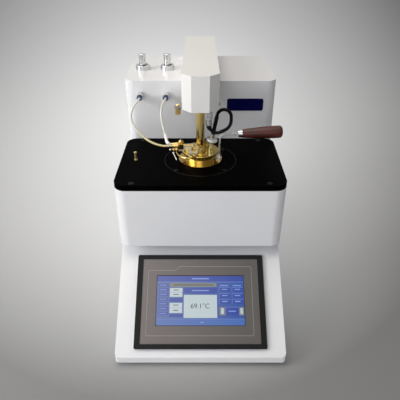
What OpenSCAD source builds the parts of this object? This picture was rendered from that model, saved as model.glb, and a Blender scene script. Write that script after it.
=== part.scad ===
// Automatic closed-cup flash point tester: a sloped console with a screen, a heated
// bath with a lidded cup, and a tower whose motorised arm lifts the lid assembly.
// Origin: centre of the footprint, on the surface the feet stand on. Front is -Y.

/* [Console] */
// Width of the console, the bath housing and the tower
console_w = 290; // [276:1:310]
// Height of the rubber feet
foot_h = 8; // [5:0.5:12]
// Radius of a rubber foot
foot_r = 11; // [8:0.5:14]
// Distance of a foot's centre from the console's edges
foot_inset = 26; // [20:1:40]
// Height of the console from its underside to the deck
shell_h = 148; // [144:1:158]
// Depth from the front lip to the bath housing
apron_d = 134; // [130:1:142]
// Height of the straight front lip
lip_h = 18; // [14:1:22]
// Slope of the screen panel in degrees
slope_a = 35.6; // [34:0.2:38]
// Wall of the console shell
shell_t = 2.5; // [2:0.1:3.5]
// Thickness of the bottom plate
bottom_t = 2; // [1.5:0.1:3]
// Corner radius of the console in plan
console_r = 6; // [4:0.5:10]

/* [Screen] */
// Width of the touch panel's bezel
bezel_w = 226.5; // [210:0.5:240]
// Height of the bezel along the slope
bezel_h = 163; // [150:1:168]
// How far the bezel stands off the slope
bezel_t = 5.5; // [4:0.1:8]
// Width of the bezel's frame at the sides
bezel_side = 10; // [6:0.5:14]
// Width of the bezel's frame at top and bottom
bezel_end = 8; // [5:0.5:12]
// Distance from the foot of the slope to the bezel
bezel_up = 9; // [4:0.5:12]
// Visible width of the display
lcd_w = 154; // [140:1:165]
// Visible height of the display
lcd_h = 86; // [78:1:95]
// Depth of the panel's rear case below the slope
case_d = 24; // [18:1:28]

/* [Bath] */
// Depth of the bath housing
bath_d = 192; // [182:1:205]
// Height of the bath housing
bath_h = 114; // [104:1:124]
// Plan corner radius of the housing, its top plate and the tower
body_r = 20; // [12:1:28]
// Wall of the bath housing and the floor
bath_t = 2; // [1.5:0.1:3]
// Thickness of the black top plate
plate_t = 10; // [8:0.5:14]
// Distance of the cup's axis from the housing's front
cup_back = 98; // [92:1:104]
// Radius of the ring let into the top plate
ring_r = 65; // [60:0.5:72]
// Radius of the heater block
block_r = 50; // [44:0.5:54]
// Height of the heater block
block_h = 50; // [44:1:56]

/* [Cup] */
// Inside radius of the cup
cup_r = 25.4; // [24:0.1:27]
// Wall of the cup
cup_t = 1.8; // [1.2:0.1:2.4]
// Inside depth of the cup
cup_depth = 56; // [52:0.5:58]
// Height of the cup's rim above the top plate
neck_h = 16; // [14:0.5:20]
// Radius of the cup's flange
flange_r = 39.2; // [36:0.1:42]
// Thickness of the cup's flange
flange_t = 3.5; // [2.5:0.1:4.5]
// Length of the wooden grip
grip_l = 70.8; // [55:0.1:80]
// Largest radius of the wooden grip
grip_r = 11; // [8.5:0.1:13]

/* [Lid] */
// Radius of the lid
lid_r = 32.6; // [31.5:0.1:35]
// Thickness of the lid
lid_t = 3; // [2:0.1:4]
// Thickness of the turning shutter
shutter_t = 2.4; // [1.6:0.1:3]
// Thickness of the bridge plate
bridge_t = 4; // [3:0.1:5]
// Radius of the stirrer shaft
shaft_r = 3; // [2:0.1:3.5]
// Outer radius of the brass stirrer sleeve
sleeve_r = 7.3; // [6:0.1:8]

/* [Tower] */
// Depth of the tower
tower_d = 194.3; // [185:0.1:205]
// Height of the tower above the deck
tower_h = 239.6; // [225:0.1:250]
// Wall of the tower
tower_t = 2.5; // [2:0.1:3.5]
// Gap between the bath housing and the tower
tower_gap = 1.7; // [1:0.1:4]
// How far the rear plate is set in
recess_d = 16; // [15:0.5:22]
// Distance of the needle valves from the tower's front
valve_back = 82.3; // [70:0.1:95]
// Distance of the hose fittings below the tower's top
fitting_drop = 26.6; // [24:0.2:36]

/* [Arm] */
// Width of the arm
arm_w = 63; // [56:1:70]
// Height of the arm at its front
arm_h = 60.4; // [54:0.1:66]
// How far the arm's front hangs below the tower's top
arm_drop = 17; // [12:0.5:22]
// Length that the arm reaches past the cup's axis
arm_reach = 28; // [22:0.1:34]
// Chamfer of the arm's front corners in plan
arm_chamfer = 16.5; // [10:0.5:20]
// Wall of the arm cover
arm_t = 2; // [1.5:0.1:3]
// Travel of the arm
lift_travel = 100; // [80:1:105]
// Radius of a guide rod
rod_r = 5; // [4:0.1:6]
// Distance of a guide rod from the middle
rod_x = 18; // [16.5:0.5:19]
// Radius of the lead screw
screw_r = 4; // [3:0.1:5]

/* [Hidden] */
$fn = 72;

// Play of a running shaft, gap at a sliding face, and the overlap that a cut needs
run_gap = 0.05;
slide_gap = 0.3;
eps = 1;

// Levels
deck_z = foot_h + shell_h;
plate_z = deck_z + bath_h;
plate_top = plate_z + plate_t;
rim_z = plate_top + neck_h;
lid_top = rim_z + lid_t;
shutter_z = lid_top + slide_gap;
bridge_z = shutter_z + shutter_t + slide_gap;
bridge_top = bridge_z + bridge_t;
tower_top = deck_z + tower_h;
arm_z = tower_top - arm_drop;
arm_top = arm_z + arm_h;

// Depths, with the footprint centred on the origin
total_d = apron_d + bath_d + tower_gap + tower_d;
front_y = -total_d / 2;
back_y = total_d / 2;
bath_y = front_y + apron_d;
cup_y = bath_y + cup_back;
tower_y = back_y - tower_d;
arm_y = cup_y - arm_reach;
arm_back_y = back_y - arm_t;

// Foot of the slope, behind the lip's rounded edge
lip_edge = 3;
slope_y = front_y + lip_edge;
slope_z = foot_h + lip_h;

function slope_at(z, drop = 0) = slope_y + (z - slope_z + drop / cos(slope_a)) / tan(slope_a);

module rounded(w, d, r) {
  square([w - 2 * r, d], center = true);
  square([w, d - 2 * r], center = true);
  for (x = [-1, 1], y = [-1, 1]) translate([x * (w / 2 - r), y * (d / 2 - r)]) circle(r);
}

// A column of rounded plan between two depths
module column(w, y0, y1, r, z0, z1) {
  translate([0, (y0 + y1) / 2, z0]) linear_extrude(z1 - z0) rounded(w, y1 - y0, r);
}

module side_profile(points, w) {
  rotate([90, 0, 90]) translate([0, 0, -w / 2]) linear_extrude(w) polygon(points);
}

module at_slope(up) {
  translate([0, slope_y, slope_z]) rotate([slope_a, 0, 0]) translate([0, up, 0]) children();
}

module at_cup() {
  translate([0, cup_y, 0]) children();
}

module corners(dx, dy) {
  for (x = [-1, 1], y = [-1, 1]) translate([x * dx, y * dy, 0]) children();
}

module tube_x(r, x0, x1, bore = 0) {
  translate([x0, 0, 0]) rotate([0, 90, 0]) difference() {
    cylinder(r = r, h = x1 - x0);
    if (bore > 0) translate([0, 0, -eps]) cylinder(r = bore, h = x1 - x0 + 2 * eps);
  }
}

// A countersunk screw with its head's top at the origin
module flat_screw(head_r, shank_r, head_t, length, play = 0) {
  translate([0, 0, -head_t]) cylinder(r1 = shank_r + play, r2 = head_r + play, h = head_t);
  translate([0, 0, -length - play]) cylinder(r = shank_r + play, h = length + play);
}

// Sweeping a round section along chosen points
function unit(v) = v / norm(v);
function run_of(p, i) =
  unit(p[min(i + 1, len(p) - 1)] - p[max(i - 1, 0)]);
function square_to(n, t) = unit(n - (n * t) * t);
function sides_of(p, n0) = [
  for (i = 0, n = square_to(n0, run_of(p, 0)); i < len(p);
       i = i + 1, n = square_to(n, run_of(p, min(i, len(p) - 1)))) n
];
function ring_of(c, t, n, r, count) = [
  for (k = [0 : count - 1]) c + r * (cos(360 * k / count) * n + sin(360 * k / count) * cross(t, n))
];
module sweep(p, r, count = 8, n0 = [0, 0, 1]) {
  n = sides_of(p, n0);
  rings = [for (i = [0 : len(p) - 1]) each ring_of(p[i], run_of(p, i), n[i], r, count)];
  last = (len(p) - 1) * count;
  walls = [
    for (i = [0 : len(p) - 2], k = [0 : count - 1])
      let (a = i * count + k, b = i * count + (k + 1) % count)
        each [[a, a + count, b], [b, a + count, b + count]]
  ];
  ends = [[for (k = [0 : count - 1]) k], [for (k = [count - 1 : -1 : 0]) last + k]];
  polyhedron(rings, concat(walls, ends), convexity = 8);
}

// Console

foot_x = console_w / 2 - foot_inset;
foot_y = total_d / 2 - foot_inset;
case_gap = 0.3;
case_w = bezel_w - 14;
case_h = bezel_h - 14;
frame_back = 96;
frame_y = tower_y + frame_back;
frame_hole = [80, 60];
bath_hole = [120, 90];

module base_shell() {
  in_z = deck_z - shell_t;
  in_front = front_y + shell_t;
  color("whitesmoke") difference() {
    intersection() {
      side_profile([
        [front_y, foot_h + bottom_t], [front_y, slope_z - lip_edge], [slope_y, slope_z],
        [slope_at(deck_z), deck_z], [back_y, deck_z], [back_y, foot_h + bottom_t]
      ], console_w);
      column(console_w, front_y, back_y, console_r, foot_h, deck_z + eps);
    }
    side_profile([
      [in_front, foot_h], [in_front, slope_z - shell_t / cos(slope_a)],
      [slope_at(in_z, shell_t), in_z], [back_y - shell_t, in_z], [back_y - shell_t, foot_h]
    ], console_w - 2 * shell_t);
    at_slope(bezel_up + bezel_h / 2)
      cube([case_w + 2 * case_gap, case_h + 2 * case_gap, 4 * shell_t], center = true);
    translate([0, cup_y, deck_z]) cube([bath_hole.x, bath_hole.y, 4 * shell_t], center = true);
    translate([0, frame_y, deck_z]) cube([frame_hole.x, frame_hole.y, 4 * shell_t], center = true);
  }
}

module bottom_plate() {
  boss_r = 4;
  boss_h = 8;
  color("gray") union() {
    column(console_w, front_y, back_y, console_r, foot_h, foot_h + bottom_t);
    for (y = [board_y, supply_y]) translate([0, y, foot_h + bottom_t])
      corners(board_w / 2 - 8, board_d / 2 - 8) cylinder(r = boss_r, h = boss_h);
  }
}

module rubber_feet() {
  color("dimgray") corners(foot_x, foot_y) difference() {
    cylinder(r1 = foot_r - 1, r2 = foot_r, h = foot_h);
    translate([0, 0, -eps]) cylinder(r = 3.5, h = eps + 3);
  }
}

bezel_r = 2.5;
membrane_r = 1.5;

module screen_bezel() {
  color("dimgray") at_slope(bezel_up + bezel_h / 2) difference() {
    linear_extrude(bezel_t) rounded(bezel_w, bezel_h, bezel_r);
    translate([0, 0, -eps]) linear_extrude(bezel_t + 2 * eps)
      rounded(bezel_w - 2 * bezel_side, bezel_h - 2 * bezel_end, membrane_r);
  }
}

membrane_t = 0.8;
membrane_z = bezel_t - 1.5;

module screen_membrane() {
  color("gray") at_slope(bezel_up + bezel_h / 2) translate([0, 0, membrane_z]) difference() {
    linear_extrude(membrane_t)
      rounded(bezel_w - 2 * bezel_side, bezel_h - 2 * bezel_end, membrane_r);
    translate([0, 0, -eps]) linear_extrude(3 * eps) rounded(lcd_w, lcd_h, 1);
  }
}

module lcd_panel() {
  color("royalblue") at_slope(bezel_up + bezel_h / 2)
    translate([-lcd_w / 2 - 5, -lcd_h / 2 - 5, 0]) cube([lcd_w + 10, lcd_h + 10, membrane_z]);
}

module screen_rear_case() {
  color("dimgray") at_slope(bezel_up + bezel_h / 2)
    translate([0, 0, -case_d]) linear_extrude(case_d) rounded(case_w, case_h, 5);
}

board_w = 150;
board_d = 90;
board_y = bath_y + bath_d / 2;
supply_y = tower_y + tower_d / 2;
supply_h = 38;
board_t = 1.6;
inside_z = foot_h + bottom_t + 8;

module control_board() {
  color("seagreen") translate([0, board_y, inside_z]) union() {
    translate([-board_w / 2, -board_d / 2, 0]) cube([board_w, board_d, board_t]);
    for (x = [-50, -20, 15]) translate([x, -20, board_t]) cube([18, 18, 3]);
    for (x = [-55 : 22 : 55]) translate([x, 30, board_t]) cube([16, 10, 11]);
    translate([45, -15, board_t]) cylinder(r = 9, h = 25);
  }
}

module power_supply() {
  color("silver") translate([0, supply_y, inside_z]) difference() {
    translate([-board_w / 2, -board_d / 2, 0]) cube([board_w, board_d, supply_h]);
    for (x = [-60 : 12 : 60]) translate([x, 0, supply_h]) cube([5, 50, 10], center = true);
  }
}

// Bath

corner_x = console_w / 2 - 30;
corner_y = bath_d / 2 - 9;
corner_head_r = 4.4;
corner_shank_r = 2.2;
corner_len = 20;
ledge_r = ring_r - 9;
ring_t = plate_t / 2;
ring_screw_r = (ring_r + ledge_r) / 2 - 0.7;
ring_head_r = 3.4;
ring_shank_r = 1.7;
ring_len = plate_t - 1;
cup_out = cup_r + cup_t;
well_gap = 1.2;

module at_corners() {
  translate([0, bath_y + bath_d / 2, 0]) corners(corner_x, corner_y) children();
}

module at_ring_screws() {
  for (a = [45 : 90 : 315]) rotate([0, 0, a]) translate([ring_screw_r, 0, 0]) children();
}

module bath_housing() {
  color("whitesmoke") difference() {
    union() {
      difference() {
        column(console_w, bath_y, bath_y + bath_d, body_r, deck_z, plate_z);
        column(console_w - 2 * bath_t, bath_y + bath_t, bath_y + bath_d - bath_t,
               body_r - bath_t, deck_z + bath_t, plate_z + eps);
      }
      at_corners() translate([0, 0, deck_z + bath_t / 2])
        cylinder(r = 8, h = bath_h - bath_t / 2);
    }
    at_corners() translate([0, 0, plate_z - corner_len])
      cylinder(r = corner_shank_r + run_gap, h = corner_len + eps);
    at_cup() translate([0, 0, deck_z - eps]) cylinder(r = 34, h = bath_t + 2 * eps);
  }
}

module top_plate() {
  color("#2b2b2d") difference() {
    column(console_w, bath_y, bath_y + bath_d, body_r, plate_z, plate_top);
    at_corners() translate([0, 0, plate_top])
      flat_screw(corner_head_r, corner_shank_r, 2.4, corner_len, run_gap);
    at_cup() {
      translate([0, 0, plate_z - eps]) cylinder(r = ledge_r, h = plate_t);
      translate([0, 0, plate_top - ring_t]) cylinder(r = ring_r + run_gap, h = plate_t);
      translate([0, 0, plate_top]) at_ring_screws()
        flat_screw(ring_head_r, ring_shank_r, 2, ring_len, run_gap);
    }
  }
}

module plate_screws() {
  color("silver") union() {
    at_corners() translate([0, 0, plate_top]) difference() {
      flat_screw(corner_head_r, corner_shank_r, 2.4, corner_len);
      translate([0, 0, -1.2]) cylinder(r = 1.5, h = 2, $fn = 6);
    }
    at_cup() translate([0, 0, plate_top]) at_ring_screws() difference() {
      flat_screw(ring_head_r, ring_shank_r, 2, ring_len);
      translate([0, 0, -1]) cylinder(r = 1.2, h = 2, $fn = 6);
    }
  }
}

module bath_ring() {
  color("#2b2b2d") at_cup() difference() {
    union() {
      translate([0, 0, plate_top - ring_t]) cylinder(r = ring_r, h = ring_t);
      translate([0, 0, plate_z]) cylinder(r = ledge_r - slide_gap, h = plate_t);
    }
    translate([0, 0, plate_z - eps]) cylinder(r = cup_out + well_gap, h = plate_t + 2 * eps);
    translate([0, 0, plate_top]) at_ring_screws()
      flat_screw(ring_head_r, ring_shank_r, 2, ring_len, run_gap);
  }
}

module heater_block() {
  floor_gap = 5.6;
  well_z = rim_z - cup_depth - 2.4 - floor_gap;
  color("silver") at_cup() difference() {
    translate([0, 0, plate_z - block_h]) cylinder(r = block_r, h = block_h);
    translate([0, 0, well_z]) cylinder(r = cup_out + well_gap, h = block_h + eps);
  }
}

module heater_band() {
  band_h = block_h - 14;
  color("gold") at_cup() translate([0, 0, plate_z - block_h + 6]) difference() {
    union() {
      cylinder(r = block_r + 4, h = band_h);
      translate([-8, block_r, 0]) cube([16, 14, band_h]);
    }
    translate([0, 0, -eps]) cylinder(r = block_r, h = band_h + 2 * eps);
    translate([-2, block_r - 1, -eps]) cube([4, 20, band_h + 2 * eps]);
  }
}

module brass_post() {
  color("goldenrod") translate([-console_w / 2 + 27.5, cup_y - 3.7, plate_top]) union() {
    cylinder(r = 3, h = 2);
    cylinder(r = 2, h = 13.5);
    translate([0, 0, 13.5]) cylinder(r = 2.6, h = 2.5);
  }
}

// Tower

valve_y = tower_y + valve_back;
valve_x = [-117, -67];
fitting_x = [-114, -65];
fit_hex = 9;
fit_barrel = 8.7;
collet_l = 4;
gas_r = 2;
rear_y = back_y - recess_d;
rear_t = 2;
window_w = console_w - 2 * body_r - 10;
window_z = [deck_z + 14, tower_top - 16];
inlet_x = console_w / 2 - 75;
inlet_z = deck_z + 45;
barb_x = -inlet_x;

module tower_shell() {
  color("whitesmoke") difference() {
    column(console_w, tower_y, back_y, body_r, deck_z, tower_top);
    column(console_w - 2 * tower_t, tower_y + tower_t, back_y - tower_t,
           body_r - tower_t, deck_z - eps, tower_top - tower_t);
    for (x = [-rod_x, rod_x]) translate([x, frame_y, tower_top - 2 * tower_t])
      cylinder(r = rod_r + 1.5, h = 4 * tower_t);
    for (x = valve_x) translate([x, valve_y, tower_top - 2 * tower_t])
      cylinder(r = 5, h = 4 * tower_t);
    for (x = fitting_x) translate([x, tower_y - eps, tower_top - fitting_drop])
      rotate([-90, 0, 0]) cylinder(r = 4.2, h = tower_t + 2 * eps);
    translate([-window_w / 2, back_y - 2 * tower_t, window_z[0]])
      cube([window_w, 4 * tower_t, window_z[1] - window_z[0]]);
  }
}

inlet_hole = [48, 28];
switch_x = inlet_x - 52;
switch_hole = [22, 16];

module tower_back_plate() {
  plate_w = console_w - 2 * tower_t - 2;
  color("lightgray") difference() {
    translate([-plate_w / 2, rear_y - rear_t, deck_z])
      cube([plate_w, rear_t, tower_h - tower_t]);
    translate([inlet_x, rear_y, inlet_z])
      cube([inlet_hole.x, 10, inlet_hole.y], center = true);
    translate([switch_x, rear_y, inlet_z])
      cube([switch_hole.x, 10, switch_hole.y], center = true);
    translate([barb_x, rear_y - rear_t - eps, inlet_z])
      rotate([-90, 0, 0]) cylinder(r = 4, h = rear_t + 2 * eps);
    for (i = [0 : 8], x = [-1, 1])
      translate([x * 50, rear_y, deck_z + 120 + 10 * i]) cube([60, 10, 4], center = true);
  }
}

badge_in = 58.6;
badge_down = 45.9;

module badge_plate() {
  badge_t = 1.2;
  color("navy") translate([console_w / 2 - badge_in, tower_y, tower_top - badge_down]) rotate([90, 0, 0])
    linear_extrude(badge_t) rounded(70, 24, 4);
}

module at_fittings(depth) {
  for (x = fitting_x) translate([x, tower_y - depth, tower_top - fitting_drop])
    rotate([90, 0, 0]) children();
}

module hose_fittings() {
  color("silver") union() {
    at_fittings(0) {
      cylinder(r = 7.2, h = fit_hex, $fn = 6);
      translate([0, 0, -tower_t]) cylinder(r = 4.1, h = 2 * tower_t);
      translate([0, 0, -tower_t - 6]) cylinder(r = 6.4, h = 6);
    }
    at_fittings(fit_hex) cylinder(r = 6.2, h = fit_barrel);
  }
}

module fitting_collets() {
  color("royalblue") at_fittings(fit_hex + fit_barrel) difference() {
    union() {
      cylinder(r = 3.6, h = collet_l);
      translate([0, 0, collet_l - 1.6]) cylinder(r = 4.5, h = 1.6);
    }
    translate([0, 0, -eps]) cylinder(r = gas_r + run_gap, h = collet_l + 2 * eps);
  }
}

valve_base_h = 9.5;
valve_floor = 5;
stem_r = 3;

module valve_bases() {
  color("silver") for (x = valve_x) translate([x, valve_y, tower_top]) difference() {
    union() {
      cylinder(r = 14.2, h = 3.6);
      cylinder(r = 13.4, h = valve_base_h);
      translate([0, 0, 4.4]) cylinder(r = 14.2, h = 4.1);
      translate([0, 0, -tower_t - eps]) cylinder(r = 4.9, h = tower_t + eps + 1);
      translate([0, 0, -tower_t - 16]) cylinder(r = 9, h = 16);
    }
    translate([0, 0, valve_floor]) cylinder(r = 10.4, h = valve_base_h);
    translate([0, 0, -tower_t - 12]) cylinder(r = stem_r + run_gap, h = 40);
  }
}

module valve_knob(i) {
  color("silver") translate([valve_x[i], valve_y, tower_top]) difference() {
    union() {
      translate([0, 0, -tower_t - 8]) cylinder(r = stem_r, h = 18);
      translate([0, 0, valve_floor + 0.6]) cylinder(r = 6.7, h = 21);
      translate([0, 0, 23.6]) cylinder(r1 = 6.7, r2 = 7.3, h = 2.4);
      translate([0, 0, 26]) cylinder(r = 7.3, h = 4);
      translate([0, 0, 30]) cylinder(r1 = 7.3, r2 = 6.7, h = 0.6);
    }
    translate([0, 0, 15.5]) rotate([90, 0, 0]) cylinder(r = 1.5, h = 10);
  }
}

module valve_knob_left() { valve_knob(0); }

module valve_knob_right() { valve_knob(1); }

module gas_manifold() {
  block_z = tower_top - tower_t - 16 - 14;
  color("darkkhaki") difference() {
    translate([valve_x[0] - 12, valve_y - 9, block_z])
      cube([valve_x[1] - valve_x[0] + 24, 18, 14]);
    translate([valve_x[0] - 6, valve_y, block_z + 7]) rotate([0, 90, 0])
      cylinder(r = 2, h = valve_x[1] - valve_x[0] + 40);
  }
}

barb_r = 4;
barb_l = 10;

module gas_inlet_barb() {
  color("goldenrod") translate([barb_x, rear_y, inlet_z]) rotate([-90, 0, 0]) union() {
    translate([0, 0, -rear_t]) cylinder(r = 3.9, h = rear_t + 1);
    translate([0, 0, -rear_t - 5]) cylinder(r = 7, h = 5, $fn = 6);
    cylinder(r = 7, h = 3.5, $fn = 6);
    translate([0, 0, 3.5]) cylinder(r = barb_r, h = barb_l);
    translate([0, 0, 3.5 + barb_l]) cylinder(r1 = barb_r, r2 = 3, h = 1);
  }
}

socket = [24, 16];
socket_d = 18;
rocker = [19, 12.6];

module power_inlet() {
  color("#222222") difference() {
    union() {
      translate([inlet_x, rear_y + 1.5, inlet_z]) cube([56, 3, 34], center = true);
      translate([inlet_x, rear_y - 11, inlet_z]) cube([46, 22, 27], center = true);
      translate([switch_x, rear_y + 1.5, inlet_z]) cube([28, 3, 22], center = true);
      translate([switch_x, rear_y - 9, inlet_z]) cube([21.4, 18, 15.4], center = true);
      translate([(inlet_x + switch_x) / 2, rear_y + 0.75, inlet_z]) cube([40, 1.5, 12], center = true);
    }
    translate([inlet_x, rear_y + 3 - socket_d / 2 + eps / 2, inlet_z])
      cube([socket.x, socket_d + eps, socket.y], center = true);
    translate([switch_x, rear_y - 4, inlet_z])
      cube([rocker.x + 1.2, 14.1, rocker.y + 1.6], center = true);
  }
  for (p = [[-7, -2], [0, 3], [7, -2]]) color("silver")
    translate([inlet_x + p.x, rear_y + 3 - socket_d + 6, inlet_z + p.y])
      cube([2, 12, 4], center = true);
}

rocker_tilt = 7;

module switch_rocker() {
  stud_l = 0.3;
  color("black") translate([switch_x, rear_y, inlet_z]) rotate([-rocker_tilt, 0, 0])
    rotate([90, 0, 90]) union() {
      translate([0, 0, -rocker.x / 2]) linear_extrude(rocker.x)
        polygon([[-6, -4.5], [2, -rocker.y / 2 + 0.3], [4.2, -rocker.y / 2 + 0.3], [2.6, 0],
                 [4.2, rocker.y / 2 - 0.3], [2, rocker.y / 2 - 0.3], [-6, 4.5]]);
      cylinder(r = 1.6, h = rocker.x + 2 * stud_l, center = true);
    }
}

frame_x = 34;
frame_t = 6;
frame_d = 60;
shelf_z = deck_z + 60;
guide_z = tower_top - tower_t - 22;
guide_t = 10;
carriage_z = shelf_z + frame_t + 14;
carriage_t = 10;
carriage_x = frame_x - 4;
carriage_y = frame_d / 3;

module lift_frame() {
  color("silver") translate([0, frame_y, 0]) difference() {
    union() {
      for (x = [-frame_x - frame_t, frame_x]) translate([x, -frame_d / 2, deck_z])
        cube([frame_t, frame_d, guide_z + guide_t - deck_z]);
      translate([-frame_x, -frame_d / 2, shelf_z]) cube([2 * frame_x, frame_d, frame_t]);
      translate([-frame_x, -frame_d / 2, guide_z]) cube([2 * frame_x, frame_d, guide_t]);
    }
    translate([0, 0, shelf_z - eps]) cylinder(r = screw_r + 3, h = frame_t + 2 * eps);
    translate([0, 0, guide_z - eps]) cylinder(r = screw_r + run_gap, h = guide_t + 2 * eps);
    for (x = [-rod_x, rod_x]) translate([x, 0, guide_z - eps])
      cylinder(r = rod_r + run_gap, h = guide_t + 2 * eps);
  }
}

module lift_motor() {
  color("#303030") translate([0, frame_y, shelf_z]) difference() {
    translate([-21, -21, -40]) cube([42, 42, 40]);
    translate([0, 0, -12]) cylinder(r = screw_r + run_gap, h = 12 + eps);
  }
}

module lead_screw() {
  color("silver") translate([0, frame_y, shelf_z - 10])
    cylinder(r = screw_r, h = guide_z + guide_t - shelf_z + 10);
}

module lift_carriage() {
  color("silver") translate([0, frame_y, carriage_z]) difference() {
    union() {
      translate([-carriage_x, -carriage_y, 0]) cube([2 * carriage_x, 2 * carriage_y, carriage_t]);
      translate([0, 0, -8]) cylinder(r = 9, h = 8);
    }
    translate([0, 0, -8 - eps]) cylinder(r = screw_r + run_gap, h = 30);
  }
}

module guide_rods() {
  color("silver") for (x = [-rod_x, rod_x]) translate([x, frame_y, carriage_z + carriage_t])
    cylinder(r = rod_r, h = rear_floor - carriage_z - carriage_t);
}

// Arm

rear_floor = tower_top + 0.4;
chassis_t = 3;
web_y = tower_y - 2;

module arm_plan(inset) {
  w = arm_w / 2 - inset;
  c = arm_chamfer - 0.41 * inset;
  polygon([
    [-w, arm_back_y - inset], [-w, arm_y + inset + c], [-w + c, arm_y + inset],
    [w - c, arm_y + inset], [w, arm_y + inset + c], [w, arm_back_y - inset]
  ]);
}

screw_y = [arm_y + 30, back_y - 50];
screw_z = [arm_z + 5, rear_floor + 7];

module at_arm_screws() {
  for (i = [0, 1], s = [-1, 1]) translate([s * arm_w / 2, screw_y[i], screw_z[i]])
    rotate([0, s * 90, 0]) children();
}

module arm_cover() {
  color("ivory") difference() {
    translate([0, 0, arm_z]) linear_extrude(arm_h) arm_plan(0);
    translate([0, 0, arm_z - eps]) linear_extrude(arm_h - arm_t + eps) arm_plan(arm_t);
    translate([-arm_w, web_y, arm_z - eps]) cube([2 * arm_w, tower_d * 2, rear_floor - arm_z + eps]);
    at_arm_screws() translate([0, 0, -2 * arm_t]) cylinder(r = 1.6, h = 4 * arm_t);
  }
}

module arm_chassis() {
  lug = [22, 12, 3];
  ear_h = 12;
  color("dimgray") difference() {
    union() {
      intersection() {
        union() {
          translate([-arm_w, arm_y - eps, arm_z])
            cube([2 * arm_w, web_y - arm_y + eps, chassis_t]);
          translate([-arm_w, web_y - chassis_t, arm_z])
            cube([2 * arm_w, chassis_t, rear_floor - arm_z + chassis_t]);
          translate([-arm_w, web_y - chassis_t, rear_floor])
            cube([2 * arm_w, tower_d + 10, chassis_t]);
          for (i = [0, 1], s = [-1, 1])
            translate([s * (arm_w / 2 - arm_t - 1.5), screw_y[i], screw_z[i] + 1])
              cube([3, 14, ear_h], center = true);
        }
        translate([0, 0, arm_z - eps]) linear_extrude(arm_h) arm_plan(arm_t);
      }
      translate([knob_x - 6, knob_y - lug.y / 2, arm_z - lug.z]) cube(lug);
    }
    translate([0, cup_y, arm_z - eps]) cylinder(r = shaft_r + 1.5, h = chassis_t + 2 * eps);
    translate([knob_x, knob_y, arm_z - 3 * eps - lug.z]) cylinder(r = 2 + run_gap, h = 20);
    at_arm_screws() translate([0, 0, -8]) cylinder(r = 1.5, h = 9);
  }
}

module arm_screws() {
  color("black") at_arm_screws() union() {
    difference() {
      cylinder(r = 2.8, h = 1.6);
      translate([0, 0, 0.7]) cylinder(r = 1.3, h = 2, $fn = 6);
    }
    translate([0, 0, -6]) cylinder(r = 1.5, h = 6.5);
  }
}

motor_r = 18.5;
motor_h = 38;

module stirrer_motor() {
  color("#303030") translate([0, cup_y, arm_z + chassis_t]) difference() {
    union() {
      cylinder(r = motor_r, h = motor_h - 4);
      cylinder(r = 12, h = motor_h);
    }
    translate([0, 0, -eps]) cylinder(r = shaft_r + run_gap, h = 13 + eps);
  }
}

module stirrer_sleeve() {
  color("goldenrod") at_cup() translate([0, 0, bridge_top]) difference() {
    cylinder(r = sleeve_r, h = arm_z - bridge_top);
    translate([0, 0, -eps]) cylinder(r = shaft_r + 1, h = arm_z - bridge_top + 2 * eps);
  }
}

module stirrer_shaft() {
  low_z = rim_z - cup_depth + 11;
  color("silver") at_cup() union() {
    translate([0, 0, low_z]) cylinder(r = shaft_r, h = arm_z + chassis_t + 12 - low_z);
    translate([0, 0, low_z - 1]) cylinder(r = 4.5, h = 9);
    for (a = [0, 180]) rotate([0, 0, a]) translate([9, 0, low_z + 3.5])
      rotate([35, 0, 0]) cube([12, 7, 1.2], center = true);
    translate([0, 0, low_z + 31]) cylinder(r = 4, h = 6);
    for (a = [0, 180]) rotate([0, 0, a + 90]) translate([6, 0, low_z + 34])
      rotate([35, 0, 0]) cube([7, 5, 1.2], center = true);
  }
}

knob_x = -39;
knob_y = cup_y + 7;

module side_knob() {
  color("goldenrod") translate([knob_x, knob_y, arm_z - 3]) union() {
    translate([0, 0, -slide_gap - 0.8]) cylinder(r = 3.6, h = 0.8);
    translate([0, 0, -slide_gap - 11.4]) cylinder(r = 5, h = 10.6);
    translate([0, 0, -slide_gap - 12]) cylinder(r1 = 4.4, r2 = 5, h = 0.6);
    translate([0, 0, -1]) cylinder(r = 2, h = 6);
    translate([0, 0, 3 + slide_gap]) cylinder(r = 3.4, h = 2.4, $fn = 6);
  }
}

connector_x = 14.5;
connector_r = 5.5;
connector_l = 32.6;

// The cable leaves through an angled boot, turned a little towards the user
boot_r = 4.2;
boot_a = 45;
boot_turn = 20;
boot_drop = 3.985;
boot_l = 4.985;

module cable_connector() {
  color("silver") translate([connector_x, cup_y, arm_z - connector_l]) union() {
    cylinder(r = connector_r, h = connector_l);
    translate([0, 0, 12]) cylinder(r = connector_r + 0.7, h = 12);
    translate([0, 0, -boot_drop]) rotate([0, 0, -boot_turn]) {
      cylinder(r = boot_r, h = boot_drop + eps);
      sphere(r = boot_r + 0.1);
      rotate([0, 90 + boot_a, 0]) cylinder(r = boot_r, h = boot_l);
    }
  }
}

// Lid and what stands on it

hub_r = 8;
window_a = [92, 162, 232];
window_turn = 35;
window_r = [14, 23];
window_side = 8.4;
shutter_r = 28;
sector_a = [74, 290];

module window(a, z, h) {
  rotate([0, 0, a]) translate([window_r[0], -window_side / 2, z])
    cube([window_r[1] - window_r[0], window_side, h]);
}

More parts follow.
